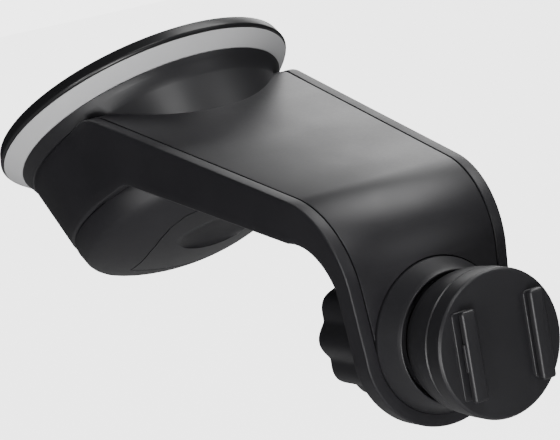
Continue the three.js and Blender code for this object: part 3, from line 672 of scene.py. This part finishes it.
def arm_shell_shape():
    """Half of the shell drawn out row by row from its round end to the back of the foot, then mirrored."""
    edge = mm(sizes().edge_round)
    strip = mm(sizes().cover_inset)
    radius = mm(sizes().arm_end_radius)
    bm = bmesh.new()
    row = [
        bm.verts.new((0 if inset is None else radius - inset, depth, 0))
        for inset, depth in section_plan(LEG_THICKNESS, strip, edge)
    ]
    section = [bm.edges.new(pair) for pair in zip(row, row[1:] + row[:1])]
    off_axis = [e for e in section if max(e.verts[0].co.x, e.verts[1].co.x) > 1e-6]
    bmesh.ops.spin(
        bm, geom=off_axis + row, cent=(0, 0, 0), axis=(0, 1, 0), angle=math.pi / 2, steps=24,
        use_merge=False, use_duplicate=False,
    )

    for distance in [5, 10, BEND_START] + bend_distances(95):
        places = []
        for inset, depth in section_plan(arm_thickness(distance), strip, edge):
            y, z = on_arm(distance, depth)
            x = 0 if inset is None else half_width_at(y, z) - inset
            places.append((x, y, z))
        row = drawn_on(bm, row, places)

    # Past the third station of the flank the section's middle is open, and only the wall goes on.
    for i, (top, bottom) in enumerate(rim_path()):
        down = bottom - top
        tall = down.length
        down.normalize()
        width = strip + (WALL - strip) * min(i / 8, 1)
        places = []
        for k, (inset, depth) in enumerate(section_plan(tall, width, edge)):
            if inset is None and i > 2:
                inset = WALL
                depth = tall * 0.5 if k == 0 else tall
            point = top + down * depth
            x = 0 if inset is None else half_width_at(point.x, point.y) - inset
            places.append((x, point.x, point.y))
        row = drawn_on(bm, row, places)

    # Round the back of the foot, where the flank's extra width fades out.
    turns, fading = 30, 14
    tall = FOOT_DEPTH - RIM_DEPTH
    for step in range(1, turns + 1):
        angle = math.radians(90 * step / turns)
        fade = max(1 - step / fading, 0) ** 2 * (1 + 2 * step / fading)
        places = []
        for k, (inset, depth) in enumerate(section_plan(tall, WALL, edge)):
            if inset is None:
                inset = WALL
                depth = tall * 0.5 if k == 0 else tall
            level = RIM_DEPTH + depth
            middle = foot_point(0, level)
            extra = half_width_at(middle.x, middle.y) - drum_radius(level)
            reach = drum_radius(level) + extra * fade - inset
            around = Vector((reach * math.cos(angle), reach * math.sin(angle), -level))
            places.append(FOOT_IN_ARM @ around)
        row = drawn_on(bm, row, places)
    bm.faces.new(row)

    bmesh.ops.remove_doubles(bm, verts=bm.verts, dist=1e-4)
    bmesh.ops.mirror(
        bm, geom=bm.verts[:] + bm.edges[:] + bm.faces[:], matrix=Matrix.Identity(4),
        merge_dist=1e-4, axis="X",
    )
    middle = [f for f in bm.faces if all(abs(v.co.x) < 1e-4 for v in f.verts)]
    bmesh.ops.delete(bm, geom=middle, context="FACES")
    bmesh.ops.remove_doubles(bm, verts=bm.verts, dist=1e-4)
    bmesh.ops.dissolve_degenerate(bm, edges=bm.edges, dist=1e-4)
    bmesh.ops.recalc_face_normals(bm, faces=bm.faces)
    return bm


def arm_cover_shape():
    """The inlaid cover: a thin plate drawn along the same path, its long edges just broken."""
    inset = mm(sizes().cover_inset) + mm(sizes().seam)
    tops = [on_arm(distance, 0) for distance in [-3, 5, 10, BEND_START] + bend_distances(101)]
    tops += [top for top, bottom in rim_path()][:12]
    plan = [(0.0, COVER_THICKNESS), (0.0, 0.14), (0.05, 0.04), (0.14, 0.0)]
    bm = bmesh.new()
    row = None
    for i, top in enumerate(tops):
        ahead = (tops[min(i + 1, len(tops) - 1)] - tops[max(i - 1, 0)]).normalized()
        inward = Vector((ahead.y, -ahead.x))
        half = half_width_at(top.x, top.y) - inset
        right = [(half - a, *(top + inward * b)) for a, b in plan]
        places = right + [(-x, y, z) for x, y, z in reversed(right)]
        if row is None:
            row = [bm.verts.new(place) for place in places]
            bm.faces.new(row)
        else:
            row = drawn_on(bm, row, places)
    bm.faces.new(row)
    bmesh.ops.recalc_face_normals(bm, faces=bm.faces)
    return bm


# ---- foot ----

SCREW_X = 22.5
SCREW_Y = 10.0
SCREW_FOOT = -34.3  # the deep end of the foot screws and their bosses
CAM_INSIDE = 6.6
CAM_OUTSIDE = 12.6
CAM_RADIUS = 13.25
CAM_DROP = 2.5  # the cam's fall over its working angle
CAM_ANGLE = 75
CAM_STEP = 5

# The rounded underside, as (radius, depth below the glass).
DOME = [
    (31.0, 29.3), (30.9, 30.6), (30.6, 31.8), (30.0, 34.0), (29.3, 35.2), (28.3, 36.2), (27.0, 37.0),
    (25.2, 37.95), (23.2, 38.85), (20.5, 39.9), (17.6, 40.85), (14.5, 41.65), (11.0, 42.4), (7.5, 43.0),
    (4.0, 43.35), (0.0, 43.5),
]


def dome_corners(less):
    """The dome's outline, or its inside at a wall's thickness."""
    points = []
    for i, (radius, depth) in enumerate(DOME):
        slope = min(max((depth - 32) / 6, 0), 1)
        inward = less * (1 - 0.68 * slope) if less else 0
        points.append((max(radius - inward, 0), -(depth - less * (0.15 + 0.84 * slope))))
    return points


def dome_skin(thickness):
    return turned(dome_corners(0) + dome_corners(thickness)[::-1], ring=True)


def lever_plan(grow):
    """The lever panel's outline seen along the suction axis."""
    width = mm(sizes().lever_half_width)
    half = [
        (width, 20, 0), (width, -1, 3), (width - 0.7, -7.5, 5), (width - 1.9, -12.0, 4),
        (width - 4.6, -16.2, 4), (width - 8.2, -18.3, 3), (0, -18.6, 0),
    ]
    right = [(p.x + grow, p.y - (grow if i else 0)) for i, p in enumerate(softened(half, 4))]
    return right[:-1] + [(-x, y) for x, y in reversed(right)]


# The lever's rear end, as (distance from the middle, radius about the pivot).
TAIL = [(0, 14.0), (6, 13.8), (12, 13.3), (17.3, 12.5), (40, 12.5)]


def tail_barrel(grow):
    """The space about the pivot that the lever's rear end turns in."""
    right = [(radius + grow, x) for x, radius in TAIL]
    left = [(radius, -x) for radius, x in reversed(right[1:])]
    bm = turned([(0, -40)] + left + right + [(0, 40)])
    bmesh.ops.rotate(bm, cent=(0, 0, 0), matrix=Matrix.Rotation(math.pi / 2, 3, "Y"), verts=bm.verts)
    bmesh.ops.translate(bm, vec=(0, 0, -PIVOT_DEPTH), verts=bm.verts)
    return bm


def front_room():
    """All the space in front of the suction axis, under the arm."""
    return rounded_box((-40, -60, -62), (40, 0, -18), 0.01, 1)


class AddArmShell(bpy.types.Operator):
    """Build the arm moulding with the round foot housing"""
    bl_idname = "navigator_mount.arm_shell"
    bl_label = "Arm Shell"

    def execute(self, context):
        bolt_hole = turned([(0, -3), (2.75, -3), (2.75, 12), (0, 12)], False, 48, "Y")
        shell = without(arm_shell_shape(), bolt_hole)
        add_piece("arm_shell_fine", "arm_shell", shell, ARM_PLACE, shell_finish(), 28)
        return {"FINISHED"}


class AddArmCover(bpy.types.Operator):
    """Build the inlaid cover of the arm"""
    bl_idname = "navigator_mount.arm_cover"
    bl_label = "Arm Cover"

    def execute(self, context):
        collar_hole = turned([(0, -3), (17.8, -3), (17.8, 5), (0, 5)], False, 96, "Y")
        cover = without(arm_cover_shape(), collar_hole)
        add_piece("arm_cover_fine", "arm_cover", cover, ARM_PLACE, cover_finish(), 35)
        return {"FINISHED"}


class AddSuctionPad(bpy.types.Operator):
    """Build the rubber pad, its pulled middle and the grey ring behind it"""
    bl_idname = "navigator_mount.suction_pad"
    bl_label = "Suction Pad and Ring"

    def execute(self, context):
        edge = mm(sizes().disc_radius)
        rubber = rubber_finish()
        pad = [
            (13.4, -1.2, 0.2), (16.5, -0.55, 1.0), (20.4, -0.02, 2.0), (28.0, 0, 0), (28.3, -0.18, 0.1),
            (28.6, 0, 0), (36.2, 0, 0), (36.5, -0.22, 0.1), (36.9, 0, 0), (edge - 0.85, 0, 0.35),
            (edge, -2.55, 0.6), (edge - 0.35, -3.2, 0.25), (20.4, -3.2, 0), (13.4, -3.2, 0),
        ]
        pad = turned(softened(pad, 3, True), True, 144)
        add_piece("suction_pad_fine", "suction_pad", pad, FOOT_PLACE, rubber)
        middle = [
            (0, -2.75, 0), (3.2, -2.72, 1.0), (4.4, -2.5, 0.8), (11.0, -2.5, 0), (12.95, -2.8, 0.5),
            (12.95, -4.5, 0.2), (0, -4.5, 0),
        ]
        add_piece("pad_center_fine", "pad_center", turned(softened(middle)), FOOT_PLACE, rubber)
        ring = [
            (edge - 0.35, -3.3, 0.22), (35.94, -6.95, 0.3), (29.0, -6.95, 0), (29.0, -3.3, 0),
        ]
        ring = turned(softened(ring, 3, True), True, 144)
        add_piece("pad_ring_fine", "pad_ring", ring, FOOT_PLACE, ring_finish())
        return {"FINISHED"}


class AddDish(bpy.types.Operator):
    """Build the dish under the ring, with the bowl that stands out of the arm's face"""
    bl_idname = "navigator_mount.dish"
    bl_label = "Dish"

    def execute(self, context):
        profile = [
            (5.4, -9.0, 0), (9.5, -9.0, 0.4), (10.8, -18.9, 0.8), (27.2, -18.9, 1.0), (28.0, -7.6, 0.4),
            (28.4, -7.05, 0), (35.94, -7.05, 0.15), (35.2, -8.6, 3.0), (34.45, -10.32, 0),
            (34.2, -11.8, 4.0), (34.05, -15, 0), (34.0, -18, 0), (34.0, -24.0, 0), (30.4, -24.0, 0),
            (29.9, -21.4, 0), (5.4, -21.4, 0),
        ]
        bm = turned(softened(profile, 4, True), True, 144)
        # The front stands out of the arm's face; the rest of the skirt is drawn in under the rim.
        for vert in bm.verts:
            radius = math.hypot(vert.co.x, vert.co.y)
            if vert.co.z > -10.32 or radius < 29.5:
                continue
            share = min(max((vert.co.y + 24.5) / 4.5, 0), 1)
            share = share * share * (3 - 2 * share)
            wanted = min(radius, drum_radius(-vert.co.z) - WALL - 0.35)
            scale = (radius + (wanted - radius) * share) / radius
            vert.co.x *= scale
            vert.co.y *= scale
            vert.co.z += share * max(-vert.co.z - 21.4, 0)
        bmesh.ops.remove_doubles(bm, verts=bm.verts, dist=1e-4)
        add_piece("suction_dish_fine", "suction_dish", bm, FOOT_PLACE, joint_finish(), 40)
        return {"FINISHED"}


class AddFootCover(bpy.types.Operator):
    """Build the rounded cover that closes the foot, with the lever's opening"""
    bl_idname = "navigator_mount.foot_cover"
    bl_label = "Foot Cover"

    def execute(self, context):
        seam = mm(sizes().seam)
        opening = combined(prism(lever_plan(seam), -60, -PIVOT_DEPTH), front_room(), "INTERSECT")
        rear = combined(prism(lever_plan(seam), -60, -PIVOT_DEPTH), tail_barrel(seam), "INTERSECT")
        bm = without(dome_skin(2.0), opening, rear)
        bosses = []
        wall = [(1.55, -29.3, 0), (3.0, -29.3, 0.3), (3.0, -34.4, 0), (1.55, -34.4, 0)]
        for x in (-SCREW_X, SCREW_X):
            for y in (-SCREW_Y, SCREW_Y):
                boss = turned(softened(wall, 2, True), True, 32)
                bmesh.ops.translate(boss, vec=(x, y, 0), verts=boss.verts)
                bosses.append(boss)
        cover = joined(bm, *bosses)
        add_piece("mechanism_cover_fine", "mechanism_cover", cover, FOOT_PLACE, shell_finish(), 40)
        return {"FINISHED"}


class AddLever(bpy.types.Operator):
    """Build the cam lever with its flush panel and finger recess"""
    bl_idname = "navigator_mount.lever"
    bl_label = "Cam Lever"

    def execute(self, context):
        front = combined(dome_skin(1.8), prism(lever_plan(0), -60, -36.5), "INTERSECT")
        room = combined(front_room(), tail_barrel(0), "UNION")
        swing = prism([(9.74, -31), (30, -31), (30, -46), (13.76, -46)], -40, 40, "X")
        panel = without(combined(front, room, "INTERSECT"), swing)
        tilt = math.radians(5)
        centre = (0, -8.2, -43.9)
        under_dome = turned([(0, -30)] + [(max(r - 0.25, 0), -(d - 0.5)) for r, d in DOME])
        pan = combined(ellipsoid((14.6, 8.9, 4.3), centre, tilt), under_dome, "INTERSECT")
        recess = ellipsoid((13.5, 7.9, 3.2), centre, tilt, 72)
        panel = without(combined(panel, pan, "UNION"), recess)
        cheeks = []
        web = [(-9, -38), (6, -38), (7.5, -41.0), (-11.5, -41.0)]
        for low, high in ((-CAM_OUTSIDE, -CAM_INSIDE), (CAM_INSIDE, CAM_OUTSIDE)):
            cheeks.append(prism(self.cam_outline(), low, high, "X", 0.25, 2))
            cheeks.append(prism(web, low, high, "X"))
        lever = joined(panel, *cheeks)
        add_piece("cam_lever_fine", "cam_lever", lever, FOOT_PLACE, joint_finish(), 40)
        return {"FINISHED"}

    def cam_outline(self):
        """The cam falls over its working angle, and falls away faster on both sides of it."""
        outline = []
        for angle in range(-180, 180, CAM_STEP):
            worked = min(max(angle, 0), CAM_ANGLE) / CAM_ANGLE
            past = min(max(angle - CAM_ANGLE, 0), 60) / 60
            before = min(max(-angle, 0), 120) / 120
            radius = CAM_RADIUS - CAM_DROP * worked - 5.4 * past - 7.2 * before
            turn = math.radians(angle)
            outline.append((radius * math.sin(turn), -PIVOT_DEPTH + radius * math.cos(turn)))
        return outline


class AddStem(bpy.types.Operator):
    """Build the pull stem, its pin and clips and the wear plate"""
    bl_idname = "navigator_mount.stem"
    bl_label = "Pull Stem and Pin"

    def execute(self, context):
        foot = -4.6
        stem = softened([
            (0, foot, 0), (12.0, foot, 0.2), (12.0, foot - 1.6, 0.3), (7.5, foot - 2.4, 1.0),
            (5.0, foot - 4, 0.8), (5.0, -38.6, 0.6), (3.8, -40.1, 0.3), (0, -40.1, 0),
        ])
        stem = turned(stem, False, 64)
        add_piece("pull_stem_fine", "pull_stem", stem, FOOT_PLACE, nylon_finish())
        across = Matrix.Translation((0, 0, -PIVOT_DEPTH)) @ Matrix.Rotation(math.pi / 2, 4, "Y")
        pin = turned(softened([(0, -15, 0), (2.4, -15, 0.4), (2.4, 15, 0.4), (0, 15, 0)]), False, 40)
        add_piece("lever_pin_fine", "lever_pin", pin, FOOT_PLACE @ across, steel_finish())
        for side, low in (("left", -13.8), ("right", 13.0)):
            high = low + 0.8
            clip = softened([(2.5, low, 0.1), (3.4, low, 0.2), (3.4, high, 0.2), (2.5, high, 0.1)], 2, True)
            clip = turned(clip, True, 40)
            node = f"pin_clip_{side}"
            add_piece(f"{node}_fine", node, clip, FOOT_PLACE @ across, steel_finish())
        plate = [(5.6, -21.5, 0.1), (16, -21.5, 0.2), (16, -22.5, 0.2), (5.6, -22.5, 0.1)]
        plate = turned(softened(plate, 2, True), True, 64)
        add_piece("wear_plate_fine", "wear_plate", plate, FOOT_PLACE, steel_finish())
        return {"FINISHED"}


THREAD_PITCH = 0.9


def screw_shape(head, head_height, shank, reach):
    """A pan-head screw with a cross recess and a shank with shallow thread rings."""
    top = reach + head_height
    corners = [(0, 0, 0), (shank * 0.6, 0, 0)]
    for turn in range(int(reach * 0.75 / THREAD_PITCH)):
        base = 0.5 + turn * THREAD_PITCH
        corners += [(shank * 0.82, base, 0), (shank, base + 0.35, 0), (shank * 0.82, base + 0.7, 0)]
    corners += [
        (shank, reach * 0.85, 0), (shank, reach, 0), (head, reach, 0.2),
        (head, reach + head_height * 0.55, 0.5), (head * 0.6, top, 0.8), (0, top, 0),
    ]
    bm = turned(softened(corners), False, 48)
    floor = top - head_height * 0.5
    arms = [
        rounded_box((-a, -b, floor), (a, b, top + 1), 0.12, 2)
        for a, b in ((head * 0.58, head * 0.14), (head * 0.14, head * 0.58))
    ]
    return without(bm, combined(*arms, "UNION"))


class AddScrews(bpy.types.Operator):
    """Build the four foot screws and the two cover screws"""
    bl_idname = "navigator_mount.screws"
    bl_label = "Screws"

    def execute(self, context):
        spots = [(x, y) for y in (-SCREW_Y, SCREW_Y) for x in (-SCREW_X, SCREW_X)]
        for number, (x, y) in enumerate(spots, 1):
            screw = screw_shape(2.9, 1.8, 1.5, 15.5)
            place = FOOT_PLACE @ Matrix.Translation((x, y, SCREW_FOOT))
            node = f"foot_screw_{number}"
            add_piece(f"{node}_fine", node, screw, place, steel_finish())
        y, z = on_arm(53, 0)
        for number, x in ((1, -14.0), (2, 14.0)):
            screw = screw_shape(2.7, 1.6, 1.25, 7.2)
            turn = Matrix.Rotation(ARM_SLOPE + math.pi, 4, "X") @ Matrix.Translation((0, 0, 1.9))
            place = ARM_PLACE @ Matrix.Translation((x, y, z)) @ turn
            node = f"cover_screw_{number}"
            add_piece(f"{node}_fine", node, screw, place, steel_finish())
        return {"FINISHED"}


# ---- ball joint ----

def sphere_points(radius, low, high, steps):
    points = []
    for k in range(steps + 1):
        y = low + (high - low) * k / steps
        points.append(Vector((math.sqrt(max(radius * radius - (y - BALL_CENTRE) ** 2, 0)), y)))
    return points


def sphere_height(radius, sphere):
    return BALL_CENTRE + math.sqrt(sphere * sphere - radius * radius)


class AddBallJoint(bpy.types.Operator):
    """Build the collar, the ball, its liner, the pressure washer and the clamp bolt"""
    bl_idname = "navigator_mount.ball_joint"
    bl_label = "Ball Joint"

    def execute(self, context):
        ball = mm(sizes().ball_radius)
        seat = ball + 0.3
        collar = softened([
            (17.5, 1.5, 0), (17.5, -0.4, 0.5), (15.55, -5.1, 0.5), (15.1, -6.0, 0.35), (14.75, -6.0, 0.3),
            (14.2, -5.2, 0.4), (13.6, -4.2, 0.2),
        ], 4)
        collar += sphere_points(seat, sphere_height(12.6, seat), sphere_height(7.2, seat), 12)
        collar += [Vector((7.2, 1.5))]
        collar = turned(collar, True, 128, "Y")
        add_piece("socket_collar_fine", "socket_collar", collar, ARM_PLACE, joint_finish(), 36)
        inner = ball - 2.3
        shell = sphere_points(ball, sphere_height(6.6, ball), BALL_CENTRE - 0.6, 28)
        shell += [Vector((ball - 0.02, -16.2)), Vector((ball - 0.45, -16.55)), Vector((inner, -16.55))]
        shell += sphere_points(inner, BALL_CENTRE, sphere_height(6.6, inner), 16)
        shell = turned(shell, True, 128, "Y")
        add_piece("ball_shell_fine", "ball_shell", shell, ARM_PLACE, joint_finish(), 36)
        liner = sphere_points(13.65, sphere_height(6.4, 13.65), sphere_height(11.2, 13.65), 10)
        liner += sphere_points(12.75, sphere_height(10.4, 12.75), sphere_height(6.4, 12.75), 8)
        liner = turned(liner, True, 72, "Y")
        add_piece("friction_liner_fine", "friction_liner", liner, ARM_PLACE, nylon_finish())
        washer = sphere_points(12.5, sphere_height(2.75, 12.5), sphere_height(9.6, 12.5), 10)
        washer += [Vector((9.0, -7.6)), Vector((2.75, -7.6))]
        washer = turned(washer, True, 72, "Y")
        add_piece("pressure_washer_fine", "pressure_washer", washer, ARM_PLACE, steel_finish())
        bolt = turned(softened([
            (0, -11.2, 0), (3.9, -11.2, 0.3), (4.5, -10.6, 0.3), (4.5, -7.9, 0.2), (2.45, -7.9, 0),
            (2.45, 19.4, 0.1), (1.95, 20, 0.1), (0, 20, 0),
        ]), False, 48, "Y")
        key = prism([(2.3 * math.cos(k * math.pi / 3), 2.3 * math.sin(k * math.pi / 3)) for k in range(6)],
                    -12.5, -9.2, "Y")
        add_piece("clamp_bolt_fine", "clamp_bolt", without(bolt, key), ARM_PLACE, steel_finish())
        return {"FINISHED"}


class AddDevicePlate(bpy.types.Operator):
    """Build the device plate with its two T-shaped tabs"""
    bl_idname = "navigator_mount.device_plate"
    bl_label = "Device Plate"

    def execute(self, context):
        radius = mm(sizes().plate_radius)
        front = -mm(ARM_FACE_Y)
        rear = front + 5.0
        disc = [
            (0, front, 0), (radius - 0.5, front, 0.5), (radius, front + 0.55, 0.35),
            (radius, rear - 0.55, 0.3),
            (radius - 0.35, rear - 0.1, 0.15), (13.6, rear - 0.1, 0), (13.6, rear + 1.6, 0.2),
            (12.0, rear + 1.6, 0.2), (12.0, rear - 0.1, 0), (0, rear - 0.1, 0),
        ]
        parts = [turned(softened(disc, 4), False, 128, "Y")]
        half = mm(sizes().tab_length) / 2
        proud = mm(sizes().tab_height)
        for sign in (-1, 1):
            x = sign * mm(sizes().tab_spacing) / 2
            a, b = sorted((x - sign * 1.85, x + sign * 2.8))
            pad = softened([(a, -9.7, 0.9), (b, -9.7, 0.9), (b, 9.7, 0.9), (a, 9.7, 0.9)], 4, True)
            parts.append(prism(pad, front - 0.5, front + 0.6, "Y", 0.22, 3))
            low, high = (x - 0.95, front - 2.2, -half + 0.8), (x + 0.95, front + 0.6, half - 0.8)
            parts.append(rounded_box(low, high, 0.15))
            head = softened([(x - 1.85, -half, 0.75), (x + 1.85, -half, 0.75), (x + 1.85, half, 0.75),
                             (x - 1.85, half, 0.75)], 4, True)
            parts.append(prism(head, front - proud, front - proud + 1.7, "Y", 0.62, 5))
            side = x + sign * 1.85
            low, high = (side - 0.45, front - 2.55, -3.1), (side + 0.28, front - 1.75, 3.1)
            parts.append(rounded_box(low, high, 0.22))
        add_piece("adapter_plate_fine", "adapter_plate", joined(*parts), ARM_PLACE, joint_finish(), 36)
        return {"FINISHED"}


class AddKnob(bpy.types.Operator):
    """Build the lobed clamping knob with its washer, insert and cap"""
    bl_idname = "navigator_mount.knob"
    bl_label = "Clamping Knob"

    def execute(self, context):
        radius = mm(sizes().knob_radius)
        lobes = sizes().knob_lobes
        front, rear = 8.2, 26.4
        body = turned(softened([
            (2.9, front, 0), (7.6, front, 0.2), (7.6, front + 5, 0), (12.6, front + 5, 0.4),
            (13.2, front, 0.2), (radius, front, 1.0), (radius, rear, 1.4), (9.2, rear, 0.3),
            (9.2, 21.8, 0.2), (2.9, 21.8, 0),
        ], 5, True), True, lobes * 18, "Y")
        for vert in body.verts:
            reach = math.hypot(vert.co.x, vert.co.z)
            if reach < 13.4:
                continue
            wave = 0.5 + 0.5 * math.cos(lobes * math.atan2(vert.co.z, vert.co.x))
            scale = 1 - (1 - wave ** 0.7) * 1.5 / radius * min((reach - 13.3) / 1.2, 1)
            vert.co.x *= scale
            vert.co.z *= scale
        add_piece("clamping_knob_fine", "clamping_knob", body, ARM_PLACE, knob_finish(), 36)
        cap = [
            (0, 22.1, 0), (8.8, 22.1, 0), (8.8, rear - 0.2, 0.2), (8.3, rear + 0.35, 0.4), (4, rear + 0.9, 3),
            (0, rear + 1.05, 0),
        ]
        cap = turned(softened(cap, 4), False, 96, "Y")
        add_piece("knob_cap_fine", "knob_cap", cap, ARM_PLACE, knob_finish())
        hexagon = [(4.95 * math.cos(k * math.pi / 3), 4.95 * math.sin(k * math.pi / 3)) for k in range(6)]
        insert = prism(hexagon, front, front + 8.2, "Y", 0.2, 2)
        bore = turned([(0, 0), (2.57, 0), (2.57, 30), (0, 30)], False, 40, "Y")
        add_piece("knob_insert_fine", "knob_insert", without(insert, bore), ARM_PLACE, brass_finish())
        washer = softened([(2.75, 6.05, 0.1), (7, 6.05, 0.3), (7, 7.25, 0.3), (2.75, 7.25, 0.1)], 3, True)
        add_piece("knob_washer_fine", "knob_washer", turned(washer, True, 64, "Y"), ARM_PLACE, steel_finish())
        return {"FINISHED"}


# ---- stage ----

def stage_material(name, tone, seen):
    material = bpy.data.materials.new(name)
    material.use_nodes = True
    tree = material.node_tree
    shader = next(node for node in tree.nodes if node.type == "BSDF_PRINCIPLED")
    output = next(node for node in tree.nodes if node.type == "OUTPUT_MATERIAL")
    shader.inputs["Base Color"].default_value = (tone, tone, tone, 1)
    shader.inputs["Roughness"].default_value = 0.9
    shader.inputs["Specular IOR Level"].default_value = 0.1
    glow = tree.nodes.new("ShaderNodeEmission")
    glow.inputs["Color"].default_value = (1, 1, 1, 1)
    glow.inputs["Strength"].default_value = seen
    both = tree.nodes.new("ShaderNodeAddShader")
    tree.links.new(shader.outputs[0], both.inputs[0])
    tree.links.new(glow.outputs[0], both.inputs[1])
    rays = tree.nodes.new("ShaderNodeLightPath")
    choose = tree.nodes.new("ShaderNodeMixShader")
    tree.links.new(rays.outputs["Is Camera Ray"], choose.inputs[0])
    tree.links.new(shader.outputs[0], choose.inputs[1])
    tree.links.new(both.outputs[0], choose.inputs[2])
    tree.links.new(choose.outputs[0], output.inputs["Surface"])
    return material


def add_softbox(name, towards, side, power):
    """A square light at a fixed distance from the part, turned to its middle."""
    middle = Vector(STAGE_MIDDLE)
    place = middle + Vector(towards).normalized() * LIGHT_DISTANCE
    lamp = bpy.data.lights.new(name, "AREA")
    lamp.shape = "RECTANGLE"
    lamp.size = lamp.size_y = side
    lamp.energy = power
    box = bpy.data.objects.new(name, lamp)
    box.location = place
    box.rotation_euler = (middle - place).to_track_quat("-Z", "Y").to_euler()
    bpy.context.scene.collection.objects.link(box)


FLOOR_HEIGHT = -0.4
FLOOR_TONE = 0.5
FLOOR_GLOW = 3.6
WORLD_DIM = 0.04  # what lights the part
WORLD_BRIGHT = 4.0  # what is seen behind it
STAGE_MIDDLE = (0, 0.06, 0.03)
LIGHT_DISTANCE = 1.1

# Name, direction from the part, side and power of each softbox.
SOFTBOXES = (
    ("back_right", (0.57, 0.70, 0.42), 0.75, 5.0),
    ("overhead", (0.50, -0.10, 0.86), 0.6, 6.0),
    ("front_top", (-0.15, -0.69, 0.70), 0.34, 3.0),
    ("front_low_right", (0.5, -0.8, 0.25), 0.4, 0.8),
    ("front_left", (-0.9, -0.4, 0.10), 0.3, 2.0),
    ("left_low", (-0.815, -0.487, -0.167), 0.14, 1.6),
    ("ring_front", (-0.5, -0.8, -0.25), 0.3, 6.0),
)

SENSOR_WIDTH = 36
LENS = 155.6
CAMERA_PLACE = (-0.2980, -0.40765, 0.1200)
CAMERA_RIGHT = (0.8249, -0.5381, -0.1732)
CAMERA_UP = (0.2356, 0.0487, 0.9706)
CAMERA_BACK = (-0.5138, -0.8415, 0.1670)


class AddStage(bpy.types.Operator):
    """Set the floor, the soft lights and the camera"""
    bl_idname = "navigator_mount.stage"
    bl_label = "Stage"

    def execute(self, context):
        scene = context.scene
        bm = bmesh.new()
        bmesh.ops.create_grid(bm, x_segments=1, y_segments=1, size=6)
        bmesh.ops.translate(bm, vec=(0, 0, FLOOR_HEIGHT), verts=bm.verts)
        mesh = bpy.data.meshes.new("studio_floor")
        bm.to_mesh(mesh)
        bm.free()
        mesh.materials.append(stage_material("studio_floor", FLOOR_TONE, FLOOR_GLOW))
        floor = bpy.data.objects.new("studio_floor", mesh)
        scene.collection.objects.link(floor)

        world = bpy.data.worlds.new("studio")
        scene.world = world
        world.use_nodes = True
        tree = world.node_tree
        tree.nodes.clear()
        output = tree.nodes.new("ShaderNodeOutputWorld")
        dim = tree.nodes.new("ShaderNodeBackground")
        dim.inputs["Color"].default_value = (0.92, 0.96, 1, 1)
        dim.inputs["Strength"].default_value = WORLD_DIM
        bright = tree.nodes.new("ShaderNodeBackground")
        bright.inputs["Color"].default_value = (1, 1, 1, 1)
        bright.inputs["Strength"].default_value = WORLD_BRIGHT
        rays = tree.nodes.new("ShaderNodeLightPath")
        mix = tree.nodes.new("ShaderNodeMixShader")
        tree.links.new(rays.outputs["Is Camera Ray"], mix.inputs[0])
        tree.links.new(dim.outputs[0], mix.inputs[1])
        tree.links.new(bright.outputs[0], mix.inputs[2])
        tree.links.new(mix.outputs[0], output.inputs[0])

        for softbox in SOFTBOXES:
            add_softbox(*softbox)

        camera = bpy.data.cameras.new("camera")
        camera.sensor_width = SENSOR_WIDTH
        camera.lens = LENS
        camera.clip_start = 0.01
        view = bpy.data.objects.new("camera", camera)
        turn = Matrix((CAMERA_RIGHT, CAMERA_UP, CAMERA_BACK)).transposed().to_quaternion()
        view.matrix_world = Matrix.Translation(CAMERA_PLACE) @ turn.to_matrix().to_4x4()
        scene.collection.objects.link(view)
        scene.camera = view
        return {"FINISHED"}


class NavigatorMountPanel(bpy.types.Panel):
    """Sizes, finishes and pieces of the mount"""
    bl_idname = "VIEW3D_PT_navigator_mount"
    bl_label = "Navigator Mount"
    bl_space_type = "VIEW_3D"
    bl_region_type = "UI"
    bl_category = "Navigator Mount"

    def draw(self, context):
        layout = self.layout
        for group in (context.scene.mount_sizes, context.scene.mount_finishes):
            column = layout.column(align=True)
            for key in group.__annotations__:
                column.prop(group, key)
        for operator in PIECES:
            layout.operator(operator.bl_idname)


PIECES = (
    AddArmShell, AddArmCover, AddSuctionPad, AddDish, AddFootCover, AddLever, AddStem, AddScrews,
    AddBallJoint, AddDevicePlate, AddKnob, AddStage,
)
CLASSES = (MountSizes, MountFinishes, *PIECES, NavigatorMountPanel)


def register():
    for cls in CLASSES:
        bpy.utils.register_class(cls)
    bpy.types.Scene.mount_sizes = PointerProperty(type=MountSizes)
    bpy.types.Scene.mount_finishes = PointerProperty(type=MountFinishes)


def unregister():
    del bpy.types.Scene.mount_finishes
    del bpy.types.Scene.mount_sizes
    for cls in reversed(CLASSES):
        bpy.utils.unregister_class(cls)


def main():
    register()
    for operator in PIECES:
        family, name = operator.bl_idname.split(".")
        result = getattr(getattr(bpy.ops, family), name)()
        if result != {"FINISHED"}:
            raise RuntimeError(f"{operator.bl_label} was not finished")


if __name__ == "__main__":
    main()
